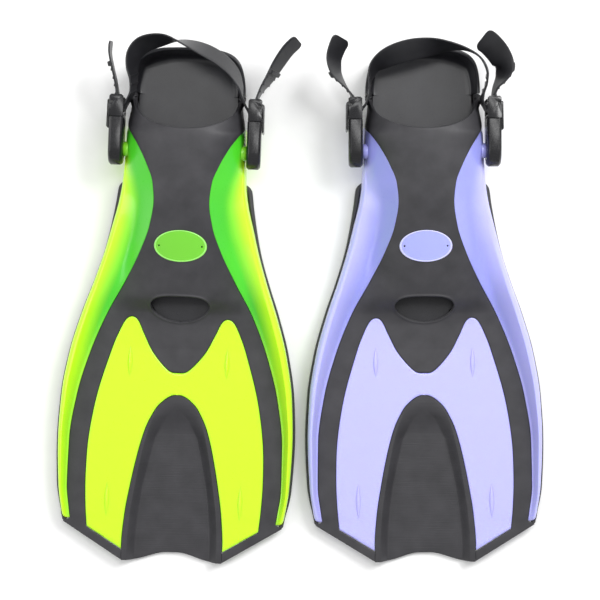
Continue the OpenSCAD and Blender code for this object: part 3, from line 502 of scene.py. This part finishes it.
def rubber_upper(fin):
    """Skin of one thickness from patches that share their border points: bands ruled from the panel's
    window to the outer border, a tongue ruled from the middle to the lobes, a grid swept to the pocket's
    rim and carried down under the wings, and a ring ruled round the vent. Seams are rounded off."""
    piece = Piece()
    fine = [0, 0.2, 0.45, 0.8]
    window = window_line()
    inner = chained(window, [LOBE_TOP, LEG[3], LEG[5], CORNER_IN, END_IN], [16, 34, 40, 24])
    side = np.concatenate([border_line(-126, -199, 40), [[92.4, -199.9], [95.8, -200.7], CORNER_OUT]])
    outer = joined(border_line(-15, -50, 16), border_line(-50, -126, 34), along(side, np.linspace(0, 1, 41)),
                   straight(CORNER_OUT, END_OUT, 24))
    band = ruled(inner, outer, fine, fine, 10)

    y = np.linspace(TONGUE[1], LOBE[0][1], 40)
    lobe = between(window, LOBE[0], LOBE_TOP, 120)
    rise = np.argsort(lobe[:, 1])
    half = np.interp(y, lobe[rise, 1], lobe[rise, 0])
    tongue = ruled(np.stack([half * 0, y], -1), np.stack([half, y], -1), [0], fine, 12)

    a = np.linspace(0, math.pi / 2, 31)
    u = np.concatenate([np.linspace(0, 0.965, 64), [0.98, 0.989, 0.994, 0.998, 1]])[:, None]
    y = mix(JOIN_Y, rim_y(a)[None], u)
    arch = skin(np.stack([np.sin(a)[None] * (border_x(y) - SEAM), y], -1))
    arch[..., 2] -= rounded((1 - u) * (rim_y(a)[None] - JOIN_Y), 1.3)
    sx, sz = under_wing(y[:, -1:], np.linspace(0.06, 1, 14)[None], SEAM)
    sx = np.concatenate([sx, np.repeat(sx[:, -1:], 3, 1)], 1)
    sz = np.concatenate([sz, mix(sz[:, -1:], SOLE_T, np.array([[1, 2, 3]]) / 3)], 1)
    under = np.stack([sx, np.broadcast_to(y[:, -1:], sx.shape), sz], -1)
    pocket = np.concatenate([arch, under], 1)

    around = joined(arch[0, :, :2], border_line(JOIN_Y, -15, 16), band[0, ::-1],
                    chained(window[::-1], [LOBE_TOP, TONGUE], [14]), tongue[0, ::-1])
    vent = curve(VENT, 16)
    turn = np.arctan2(vent[:, 0], vent[:, 1] - VENT_Y)
    want = np.arctan2(np.maximum(around[:, 0], 0), around[:, 1] - VENT_Y)
    mouth = np.stack([np.interp(want, turn, vent[:, k]) for k in (0, 1)], -1)
    ring = ruled(mouth, around, [0, 0.15, 0.35, 0.6, 1, 1.5, 2.2, 3.2], fine, 12)

    lines = [window, joined(border_line(JOIN_Y, -199, 60), side[-3:], straight(CORNER_OUT, END_OUT, 2))]
    for flat in (band, tongue, ring):
        grid = skin(flat)
        edge = np.minimum(*(edge_distance(flat, line) for line in lines))
        grid[..., 2] -= rounded(edge, 0.7)
        if flat is ring:
            away = edge_distance(flat, vent)
            grid[..., 2] += 0.9 * np.exp(-((away - 0.9) / 0.8) ** 2) - rounded(away, 0.5)
        piece.patch(grid)
    piece.patch(pocket)
    shell = piece.make(f"{fin}_rubber_upper", fin, [f"{fin}_foot_pocket", f"{fin}_deck_rubber"], CHARCOAL,
                       sharp=50)
    wall = shell.modifiers.new("thickness", "SOLIDIFY")
    wall.thickness = RUBBER_T * MM
    wall.offset = -1
    wall.use_even_offset = False
    return shell


# ---- Blade: the coloured panel with its ribs, and the web under the rubber

PANEL_TOP = 0.4      # how far the panel stands over the rubber
RIBS = [(43, -58, 27), (59.2, -181, 31)]      # middle x, middle y, length
RIB_HALF, RIB_RISE = 2.2, 1.5
WEB_T = 1.9


def channel_x(y):
    """Half width of the channel: a root curve at its point, then the table."""
    return np.where(y > -93, 12.6 * np.sqrt(np.maximum(0, -87 - y) / 6), read(CHANNEL, y, 1))


def beside(path, gap):
    """Line at a distance to the left of a path."""
    t = np.gradient(path, axis=0)
    t /= np.linalg.norm(t, axis=1)[:, None]
    return path + gap * np.stack([-t[:, 1], t[:, 0]], -1)


def blade(fin):
    """Panel ruled from the tongue, the middle and the channel's side to the leg's outer side, rounded
    at its edges; pointed ribs whose height falls from the ridge to the lens outline; flat web below."""
    piece = Piece()
    window = window_line()
    lobe = beside(chained(window[::-1], [LOBE_TOP, TONGUE, LOBE[0]], [16, 34]), SEAM)
    lobe[-1] = [0, LOBE[0][1] - SEAM]
    side_y = -87 - 137.8 * np.linspace(0, 1, 81) ** 1.5
    side = beside(np.stack([channel_x(side_y), side_y], -1), 0.35)
    side[0] = [0, -86.7]
    inner = joined(lobe, straight(lobe[-1], side[0], 14), side)
    outer = beside(joined(between(window, LOBE_TOP, LEG[3], 20), between(window, LEG[3], LEG[4], 44),
                          between(window, LEG[4], CORNER_IN, 80)), -SEAM)
    inner[0] = outer[0] = LOBE_TOP - [0, SEAM]
    outer[-1] += [-0.2, 0.2]
    flat = ruled(inner, outer, [0, 0.15, 0.35, 0.65, 1.1], [0, 0.15, 0.35, 0.65, 1.1], 22)
    edge = np.minimum(edge_distance(flat, inner[1:51]), edge_distance(flat, outer))
    edge = np.minimum(edge, edge_distance(flat, side[1:]))
    edge = np.minimum(edge, edge_distance(flat, flat[-1]))
    top = skin(flat)
    top[..., 2] += PANEL_TOP - rounded(edge, 0.9)
    low = top.copy()
    low[..., 2] = WEB_Z + 0.5
    # Painted shade: the panel darkens over the last 1.6 mm to its rounded edges, and its underside is painted
    # in shade at 0.6
    shade = np.concatenate([mix(0.72, 1, smooth(edge / 1.6)).reshape(-1), np.full(edge.size, 0.6)])
    piece.both(slab(top, low), mark=shade)

    t, s = np.linspace(0, 1, 31)[:, None], np.linspace(-1, 1, 13)[None]
    for x, y, length in RIBS:
        crest = np.sin(math.pi * t)
        p = np.stack([x + RIB_HALF * crest * s, y + length * (t - 0.5) + 0 * s], -1)
        ridge = skin(p)
        ridge[..., 2] += PANEL_TOP + RIB_RISE * crest * (1 - np.abs(s) ** 1.5) - 0.05
        foot = ridge.copy()
        foot[..., 2] = WEB_Z + 1
        piece.both(slab(ridge, foot), mark=1)

    y = np.linspace(-24, -86.7, 24)
    middle = joined(np.stack([0 * y, y], -1), side[:78])
    edge_y = np.linspace(-24, -198.5, len(middle) - 24)
    rim = np.concatenate([np.stack([border_x(edge_y) - 0.6, edge_y], -1),
                          straight([84, -200], [47.6, -221], 23)])
    web = ruled(middle, rim, [0], [0], 6)
    level = np.zeros(web.shape[:2] + (1,))
    web_top = np.concatenate([web, level + WEB_Z + WEB_T], -1)
    web_low = np.concatenate([web, level + WEB_Z], -1)
    piece.both(slab(web_top, web_low), mark=0.5)
    return piece.make(f"{fin}_panel", fin, [f"{fin}_blade"], PLASTIC[fin], sharp=60,
                      mark_name="shade")


# ---- Side wings with their swivel posts

POST_Y, POST_Z, POST_R, COLLAR_R, ARM_X, ARM_T = 128, 33, 5, 6.5, 54.1, 12.2
CAP_T = 1.9
WING_EDGE = 0.5
END_RUN = 3          # length over which the wing's blade end and the strip's ends are rounded
END_FLAT_Z = 9.8     # the wing's blade end is rounded above this height


def wings(fin):
    """Section at each station: a Catmull-Rom run from the border over the valley to the crest, a quarter
    ellipse to the wall and the wall down to a rounded foot; inside, the curve under the wing and the
    pocket's side. The blade end is rounded by a quarter circle in height and at its outer corner. The
    post is a profile turned about the x axis."""
    piece = Piece()
    y = np.concatenate([WING_END + np.array([0, 0.1, 0.4, 0.9, 1.6, 2.6, 4]), np.linspace(-192, 149, 170),
                        [WING_START]])
    stops = np.concatenate([[0, 0.02, 0.05, 0.1], np.linspace(0.18, 2, 24)])
    border, valley, crest = (np.stack([read(WING, y, c), read(WING, y, c + 1)], -1) for c in (1, 3, 5))
    run = np.moveaxis(curve(np.stack([border, valley, crest]), stops), 0, 1)
    near = np.linalg.norm(run - run[:, :1], axis=-1)
    run[..., 1] -= rounded(near, WING_EDGE)
    wall = read(WING, y, 7)[:, None]
    a = np.radians(np.linspace(7.5, 90, 12))[None]
    shoulder = crest[:, 1:] * 0.72
    arc = np.stack([mix(crest[:, :1], wall, np.sin(a)), mix(shoulder, crest[:, 1:], np.cos(a))], -1)
    fall = np.linspace(0, 1, 8)[None, 1:] + 0 * wall
    down = np.stack([wall + 0 * fall, mix(shoulder, 1.0, fall)], -1)
    b = np.radians([30, 60, 90])[None]
    foot = np.stack([wall - 1 + np.cos(b), 1 - np.sin(b) + 0 * wall], -1)
    outer = np.concatenate([run, arc, down, foot], 1)
    t = np.linspace(0, 1, outer.shape[1] - 8)[None]
    ix, iz = under_wing(y[:, None], t, 0)
    floor = np.linspace(0, 1, 9)[None, 1:]
    ix = np.concatenate([ix, ix[:, -1:] + 0 * floor], 1)
    iz = np.concatenate([iz, iz[:, -1:] * (1 - floor)], 1)
    end = y[:, None] - WING_END
    z = outer[..., 1]
    arch = np.sqrt(np.maximum(0, 1 - np.maximum(0, 1 - end / END_RUN) ** 2))
    z[:] = np.where(z > END_FLAT_Z, END_FLAT_Z + (z - END_FLAT_Z) * arch, z)
    corner = rounded(end, END_RUN)
    for x in (outer[..., 0], ix):
        x -= corner * np.clip((x - 91.5) / 6, 0, 1)
    line = np.broadcast_to(y[:, None], outer.shape[:2])
    top = np.stack([outer[..., 0], line, outer[..., 1]], -1)
    low = np.stack([ix, line, iz], -1)
    # Painted light and shade: each section runs from painted shade on the inner slope to painted light on the
    # crest and outer wall, the blade's sections are painted lighter, and the inside under the wing is painted
    # in shade at 0.3
    lit = np.concatenate([smooth((stops - 0.75) / 1.2) * 0.9, np.full(outer.shape[1] - len(stops), 0.95)])
    blade_lit = 0.62 * smooth((-y[:, None] - 5) / 70)
    shade = np.concatenate([(blade_lit + (1 - blade_lit) * lit).reshape(-1), np.full(line.size, 0.3)])
    piece.both(slab(top, low), mark=shade)

    start = float(wall_x(POST_Y))
    collar_end = ARM_X - 0.3
    tip = ARM_X + ARM_T - CAP_T - 0.1
    shape = np.array([[start, 0.01], [start, COLLAR_R], [ARM_X - 0.7, COLLAR_R], [collar_end, COLLAR_R - 0.4],
                      [collar_end, POST_R], [tip - 0.5, POST_R], [tip, POST_R - 0.5], [tip, 0.01]])
    a = np.linspace(0, 2 * math.pi, 65)[:-1][None]
    turned = np.stack([shape[:, :1] + 0 * a, POST_Y + shape[:, 1:] * np.cos(a),
                       POST_Z + shape[:, 1:] * np.sin(a)], -1)
    piece.both(tube(turned), mark=0.4)
    return piece.make(f"{fin}_wings", fin, [f"{fin}_left_wing", f"{fin}_right_wing"], PLASTIC[fin],
                      sharp=55, mark_name="shade")


def cut_corners(ring, times):
    """Closed rings with their corners cut: every side keeps its middle half, so many times over."""
    for _ in range(times):
        after = np.roll(ring, -1, axis=1)
        ring = np.stack([mix(ring, after, 0.25), mix(ring, after, 0.75)], 2).reshape(len(ring), -1, 3)
    return ring


def edges(fin):
    """Strip beside each wing: a five-sided section, with its corners cut three times, carried along the
    wing's outer wall. At the toes it runs inwards round the wing's end, rises a little and narrows; at
    the heel it closes over the last three millimetres."""
    piece = Piece()
    y = np.concatenate([[-202, -201.8, -201.3, -200.4, -199.2, -198.6, -197.8, -196.6],
                        np.linspace(-195, 97, 150), [99.5, 101, 101.7, 102]])
    a = read(WING, np.maximum(y, WING_END), 7) + SEAM
    b = np.maximum(a + 0.8, read(OUTER, y, 1)) - rounded(y + 202, 2.2)
    a = a - rounded(np.maximum(0, y - WING_END), 3.2)
    rise = 1.9 * smooth((-186 - y) / 12)
    end = np.minimum(y + 204, 102 - y)[:, None]
    section = ((a, 1.4), (a, 9.0 + rise), (mix(a, b, 0.6), 9.0 + rise), (b, 7.4 + rise), (b, 2.0))
    corners = np.stack([np.stack([x, z + 0 * x], -1) for x, z in section], 1)
    middle = np.stack([a, 0 * a + 5], -1)[:, None]
    keep = np.sqrt(np.maximum(0.02, 1 - np.maximum(0, 1 - end / END_RUN) ** 2))[..., None]
    corners = middle + (corners - middle) * keep
    ring = np.stack([corners[..., 0], np.broadcast_to(y[:, None], corners.shape[:2]), corners[..., 1]], -1)
    piece.both(tube(cut_corners(ring, 3)))
    return piece.make(f"{fin}_edges", fin, [f"{fin}_left_edge", f"{fin}_right_edge"], CHARCOAL,
                      sharp=60)


# ---- Channel, foot bed and badge

RIM_TOP, CHANNEL_DEPTH = 11.9, 7.7
FLOOR_SHARE = np.array([[-235, 0.74], [-168, 0.72], [-125, 0.62], [-108, 0.42], [-97, 0.02], [-90, 0.01]])


def channel(fin):
    """Half the channel at a time: a rim of one height with a rounded outer edge, sides that slope in a
    nearly straight line to the sunk floor, and a floor that dips from the point in 34 mm."""
    piece = Piece()
    u = np.concatenate([[1, 0.999, 0.9975, 0.995], np.linspace(0.99, 0.12, 150),
                        0.12 * np.linspace(0.98, 0, 50) ** 2])[:, None]
    s = np.concatenate([np.linspace(0, 0.88, 45), np.linspace(0.89, 0.985, 12),
                        [0.99, 0.994, 0.997, 1]])[None]
    y = mix(-87.0, -227.5 - 7.5 * smooth((s - 0.1) / 0.75), u)
    x = s * channel_x(y)
    share = np.interp(y, FLOOR_SHARE[:, 0], FLOOR_SHARE[:, 1])
    t = np.clip((s - share) / (0.9 - share), 0, 1)
    sunk = smooth((-92 - y) / 30) * (1 - mix(t, smooth(t), 0.2))
    end = (1 - u) * 140
    outside = (1 - s) * np.maximum(channel_x(y), 9)
    z = RIM_TOP - CHANNEL_DEPTH * sunk - rounded(outside, 0.9) - rounded(end, 0.8)
    top = np.stack([x, y, z], -1)
    low = top.copy()
    low[..., 2] = np.minimum(z - 2, mix(z - 2, 7.8, smooth((s - 0.84) / 0.1)))
    piece.both(slab(top, low))
    return piece.make(f"{fin}_scoop", fin, [f"{fin}_channel"], SCOOP, sharp=50)


BED_Z, BED_FLOOR_Z, CUP_RISE, HEEL_RISE = 6.7, 8.7, 11.3, 7


def foot_bed(fin):
    """Rings from the middle line of the underside out to the edge, up the outside of the heel cup, over
    its lip, down a filleted inner wall and across the floor to the middle line again."""
    piece = Piece()
    heel = joined([[50.5, 180.1], [50.6, 181]], curve(HEEL[1:] + [[0, 220.1]], 8))
    y = np.concatenate([[-23.5], np.linspace(-22, 178, 60), [179.2, 179.45, 179.6, 179.75, 179.9]])
    half = np.concatenate([np.stack([np.maximum(23, read(FOOT, y, 1) - 0.5), y], -1), heel])
    wall = CUP_RISE * smooth((half[:, 1] - 179.4) / 0.5) + HEEL_RISE * smooth((half[:, 1] - 182) / 26)
    soft = half.copy()
    flank = mix(read(FOOT, np.minimum(half[:, 1], 180), 1) - 0.5, 50.4, smooth((half[:, 1] - 166) / 16))
    soft[:, 0] = np.where(half[:, 1] > 183, half[:, 0], flank)
    rings = []
    medial = np.stack([0 * half[:, 0], np.clip(half[:, 1], 8, 185)], -1)

    def ring(line, inset, z):
        """Ring moved in by inset: across everywhere, along only round the heel's back."""
        back = smooth((line[:, 1] - 150) / 16)
        f = mix(min(inset, 1.0), inset, back)
        x = line[:, 0] - f * np.minimum(1, line[:, 0] / 30)
        rings.append(np.stack([x, line[:, 1] - f * smooth((line[:, 1] - 200) / 18), z + 0 * x], -1))

    for share in (1, 0.66, 0.33):
        rings.append(np.concatenate([mix(half, medial, share), np.full((len(half), 1), BED_Z)], 1))
    for inset, z in ((0.6, BED_Z), (0, BED_Z + 0.6)):
        ring(half, inset, z)
    for inset, up in ((0, 0.5), (0, 0.93), (0.35, 0.985), (0.9, 1), (1.9, 1)):
        ring(half, inset, np.maximum(BED_Z + 0.8, BED_FLOOR_Z + wall * up - 0.4 * (inset < 0.3)))
    for inset, up in ((2.6, 0.97), (3.1, 0.88), (3.7, 0.68), (4.4, 0.46), (5.3, 0.26), (6.4, 0.11),
                      (7.6, 0.03), (9, 0)):
        ring(soft, inset, BED_FLOOR_Z + wall * up)
    last = rings[-1]
    for share in np.linspace(0, 1, 13)[1:]:
        rings.append(np.concatenate([mix(last[:, :2], medial, share), last[:, 2:]], 1))
    loop = [np.concatenate([r, mirrored(r)[::-1]]) for r in rings]
    grid = np.stack(loop)
    piece.add((grid.reshape(-1, 3), grid_faces(*grid.shape[:2], around=True)))
    return piece.make(f"{fin}_bed", fin, [f"{fin}_foot_bed"], BED, sharp=60)


BADGE_Y, BADGE_A, BADGE_B = 44.5, 23, 13.7


def badge(fin):
    """Polar grid on the instep: a flat face with a raised rim, a rounded edge and two small dimples; a
    highlight is painted on the rim and shade in the dimples.
    """
    piece = Piece()
    a = np.linspace(0, 2 * math.pi, 217)[:-1][None]
    s = np.concatenate([np.linspace(0, 0.9, 70), [0.915, 0.93, 0.945, 0.96, 0.972, 0.984, 0.993, 1]])[:, None]
    x, y = s * BADGE_A * np.cos(a), BADGE_Y + s * BADGE_B * np.sin(a)
    rim = smooth((s - 0.915) / 0.03)
    lift = mix(1.0, 1.3, rim) - rounded((1 - s) * 15, 0.7)
    dot = 1 - smooth((np.hypot(np.abs(x) - 18.7, y - BADGE_Y) - 0.6) / 0.4)
    lift = lift - 0.8 * dot
    base = skin_z(x, y)
    rings = [np.stack([x, y, base + lift], -1), np.stack([x, y, base + 0.2], -1)[::-1]]
    grid = np.concatenate(rings)
    # Painted highlight on the raised rim, and painted shade, nearly black, in the two dimples
    painted_light = mix(0.2 + 0.8 * rim, 0, dot)
    shade = np.concatenate([painted_light, painted_light[::-1]]).reshape(-1)
    piece.add((grid.reshape(-1, 3), grid_faces(*grid.shape[:2], around=True)), mark=shade)
    return piece.make(f"{fin}_oval_badge", fin, [f"{fin}_badge"], BADGE[fin], sharp=60,
                      mark_name="shade")


# ---- Straps

FRAME_Y, FRAME_LEN, BAR = 155.4, 19, (57.0, 165.5)
BAR_Z = 33
STRAP_W, STRAP_T, BEND = 22, 1.8, 3.2
TOOTH_H, TOOTH_RISE, TOOTH_FALL, PITCH = 1, 2.4, 0.5, 7.2
TAB_TEETH, INNER_TEETH = 4, 3
BLOCK_H, BLOCK_LEN = 2.3, 4.2
STRAP_STEP = 0.4
# Route of the band: x, y, z and lean; the tabs outside the bars and the part over the heel
TABS = {
    "lime": ([[-67.5, 221, 40, 0], [-68, 211, 39, 0], [-65.5, 198.5, 37, 0], [-62.5, 186, 34.5, 0]],
             [[64.5, 183, 34, 4], [71.4, 193.5, 36, 14], [79, 207, 38, 22], [87, 219, 40, 24],
              [95.6, 227.6, 41, 24]]),
    "lavender": ([[-71.6, 226, 44, -44], [-76, 217.5, 43, -40], [-78.6, 207.5, 41, -36],
                  [-76.4, 197, 39, -28], [-69.5, 186, 35.5, -10]],
                 [[62.6, 183, 34, -8], [67.5, 192, 36, -26], [69.4, 201, 39, -44], [64.6, 211, 42, -56],
                  [57, 219.5, 44.5, -60], [49.6, 224.6, 46, -60]])}
OVER_HEEL = {
    "lime": [[-50.5, 171.5, 35, 0], [-47.4, 178, 37.5, 4], [-46.6, 188, 40, 12], [-48, 199, 42.5, 22],
             [-46, 210, 44.5, 30], [-38, 218.5, 46, 32], [-22, 222.8, 46.5, 18], [-6, 222, 46, -14],
             [12, 216.5, 45, -34], [28, 208.5, 43.5, -36], [40, 198, 42, -28], [46.4, 186.5, 39.5, -12],
             [48.6, 177, 36.6, 0], [50.6, 171, 34.6, 0]],
    "lavender": [[-50.2, 171, 34.8, 0], [-48, 179, 37.5, 0], [-47, 190, 40, 8], [-42.5, 201, 43, 26],
                 [-31, 209, 45, 44], [-14, 214.4, 46.5, 50], [4, 217, 46.8, 38], [20, 217.6, 46.6, 14],
                 [36, 215, 46, -4], [48, 208.4, 45, -10], [54.4, 197.5, 43, -10], [54.6, 187, 40, -4],
                 [51.6, 177.5, 36.6, 0], [50.8, 171, 34.8, 0]]}


def strap(fin):
    """Band carried along a Catmull-Rom route through both buckles: a rounded flat section, leaning by
    the route's fourth number. Saw teeth rise in a straight line and drop steeply, four on a tab and three
    inside the bar, with a stop block just beyond the tab's teeth. The ends have round corners."""
    piece = Piece()
    a = np.radians(np.arange(0, 181, 45.0))
    bend = np.stack([BAR[0] + BEND * np.cos(a), BAR[1] - BEND * np.sin(a), BAR_Z + 0 * a, 0 * a], -1)
    side = np.array([-1, 1, 1, 1])
    out = np.array([[BAR[0] + BEND, FRAME_Y + FRAME_LEN - 2, BAR_Z, 0]])
    left, right = TABS[fin]
    route = curve(np.concatenate([left, out * side, bend * side, OVER_HEEL[fin], bend[::-1], out, right]), 12)
    far = np.concatenate([[0], np.cumsum(np.linalg.norm(np.diff(route[:, :3], axis=0), axis=1))])
    total = far[-1]
    at_bar = far[route[:, 1] < BAR[1]]
    s = np.linspace(0, total, int(total / STRAP_STEP) + 1)
    q = np.stack([np.interp(s, far, route[:, c]) for c in range(4)], -1)
    wide = np.ones(9) / 9
    soft = np.stack([np.convolve(np.pad(q[:, c], 4, mode="edge"), wide, "valid") for c in range(4)], -1)
    q = np.where(np.minimum(s, total - s)[:, None] < 2, q, soft)
    t = np.gradient(q[:, :3], s, axis=0)
    t /= np.linalg.norm(t, axis=1)[:, None]
    n = np.cross([0, 0, 1.0], t)
    n /= np.linalg.norm(n, axis=1)[:, None]
    up = np.cross(t, n)
    lean = np.radians(q[:, 3:])
    across = np.cos(lean) * up + np.sin(lean) * n
    face = np.cos(lean) * n - np.sin(lean) * up
    height = np.zeros(len(s))
    for r, near in ((s, at_bar[0]), (total - s, total - at_bar[-1])):
        tab_teeth = near - 6 - TAB_TEETH * PITCH
        for first, count in ((tab_teeth, TAB_TEETH), (near + 2 * BEND + 16, INNER_TEETH)):
            k = r - first
            phase = k % PITCH
            drop = np.clip(1 - (phase - TOOTH_RISE) / TOOTH_FALL, 0, 1)
            tooth = np.where(phase < TOOTH_RISE, phase / TOOTH_RISE, drop)
            height = np.maximum(height, np.where((k >= 0) & (k < count * PITCH), tooth * TOOTH_H, 0))
        block = r - (tab_teeth - 5.6)
        height = np.maximum(height, BLOCK_H * smooth(block / 0.5) * (1 - smooth((block - BLOCK_LEN) / 0.6)))
    end = np.minimum(s, total - s)
    half = STRAP_W / 2 - 5 + np.sqrt(25 - np.maximum(0, 5 - end) ** 2)
    b = np.linspace(0, 2 * math.pi, 41)[:-1]
    c, d = np.cos(b), np.sin(b)
    w = np.sign(c) * np.abs(c) ** 0.16
    thick = np.sign(d) * np.abs(d) ** 0.45
    depth = np.where(thick[None] > 0, STRAP_T / 2, STRAP_T / 2 + height[:, None])
    rings = (q[:, None, :3] + across[:, None] * (half[:, None] * w[None])[..., None]
             + face[:, None] * (depth * thick[None])[..., None])
    piece.add(tube(rings))
    return piece.make(f"{fin}_heel_strap", fin, [f"{fin}_strap"], STRAP, sharp=32)


# ---- Mouldings whose shape is the CAD's: a merged copy with rounded edges


def refined(node, name, paint, width, turn=30):
    """Copy of a node's mesh, merged and with flat faces joined, whose edges get a round bevel."""
    mesh = frame["nodes"][node].data.copy()
    mesh.name = name
    work = bmesh.new()
    work.from_mesh(mesh)
    bmesh.ops.remove_doubles(work, verts=work.verts, dist=2e-6)
    bmesh.ops.dissolve_limit(work, angle_limit=math.radians(1), verts=work.verts, edges=work.edges)
    work.to_mesh(mesh)
    work.free()
    mesh.materials.clear()
    mesh.materials.append(paint)
    mesh.shade_smooth()
    piece = bpy.data.objects.new(name, mesh)
    bpy.context.scene.collection.objects.link(piece)
    edge = piece.modifiers.new("rounded", "BEVEL")
    edge.width = width * MM
    edge.segments = 2
    edge.limit_method = "ANGLE"
    edge.angle_limit = math.radians(turn)
    edge.harden_normals = True
    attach(piece, BODY_OF[node])
    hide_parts(node)
    return piece


def buckles(fin):
    """The CAD's own buckle mouldings on both sides, with bevels of a fifth to a half millimetre."""
    for side in ("left", "right"):
        at = f"{fin}_{side}"
        refined(f"{at}_arm", f"{at}_swivel_arm", BUCKLE, 0.5)
        refined(f"{at}_frame", f"{at}_buckle_frame", BUCKLE, 0.35)
        refined(f"{at}_pawl", f"{at}_thumb_pawl", BUCKLE, 0.25)
        refined(f"{at}_post_cap", f"{at}_swivel_cap", BUCKLE, 0.15, 50)
        refined(f"{at}_pawl_pin", f"{at}_pin", PIN, 0.15, 50)


for fin in FINS:
    rubber_upper(fin)
    blade(fin)
    wings(fin)
    edges(fin)
    channel(fin)
    foot_bed(fin)
    badge(fin)
    strap(fin)
    buckles(fin)
    refined(f"{fin}_sole", f"{fin}_grip_sole", CHARCOAL, 0.6)


# ---- Floor, light and camera


FLOOR_HALF, FLOOR_Z = 3.0, -0.0003
WORLD_STRENGTH = 0.62
LENS, SENSOR, CAMERA_HEIGHT = 104, 36, 1.55


def floor():
    """Plain pale square sheet, three metres each way from the middle, a little below the soles."""
    mesh = bpy.data.meshes.new("floor")
    h, z = FLOOR_HALF, FLOOR_Z
    mesh.from_pydata([(-h, -h, z), (h, -h, z), (h, h, z), (-h, h, z)], [], [(0, 1, 2, 3)])
    paper, nodes, bsdf, link = shader("floor_paper")
    grain = noise(nodes, link, object_coords(nodes), 40, 3)
    link(ramp(nodes, link, grain, [(0.3, 0.9), (0.7, 0.93)]), bsdf.inputs["Base Color"])
    bsdf.inputs["Roughness"].default_value = 0.9
    mesh.materials.append(paper)
    sheet = bpy.data.objects.new("floor", mesh)
    bpy.context.scene.collection.objects.link(sheet)


def area_light(name, power, size, place_at, aim=(0, 0, 0.02)):
    """Rectangular light of the given width and height, turned to look at its aim."""
    light = bpy.data.lights.new(name, "AREA")
    light.energy = power
    light.shape = "RECTANGLE"
    light.size, light.size_y = size
    lamp = bpy.data.objects.new(name, light)
    lamp.location = place_at
    lamp.rotation_euler = (Vector(aim) - Vector(place_at)).to_track_quat("-Z", "Y").to_euler()
    bpy.context.scene.collection.objects.link(lamp)


def light_and_camera():
    """Even white surroundings, three soft lights, and a camera that looks straight down."""
    world = bpy.data.worlds.new("studio")
    world.use_nodes = True
    world.node_tree.nodes["Background"].inputs["Color"].default_value = (1, 1, 1, 1)
    world.node_tree.nodes["Background"].inputs["Strength"].default_value = WORLD_STRENGTH
    bpy.context.scene.world = world
    area_light("key", 26, (0.8, 0.8), (1.0, 0.9, 1.3))
    area_light("fill", 8, (1.0, 1.0), (-1.3, 0.1, 1.2))
    area_light("over_heels", 5.5, (0.9, 0.34), (0.0, 0.52, 1.5), (0, 0.2, 0))
    view = bpy.data.cameras.new("camera")
    view.lens = LENS
    view.sensor_width = SENSOR
    camera = bpy.data.objects.new("camera", view)
    camera.location = (0, 0, CAMERA_HEIGHT)
    bpy.context.scene.collection.objects.link(camera)
    bpy.context.scene.camera = camera
    bpy.context.scene.view_settings.view_transform = "Standard"


floor()
light_and_camera()
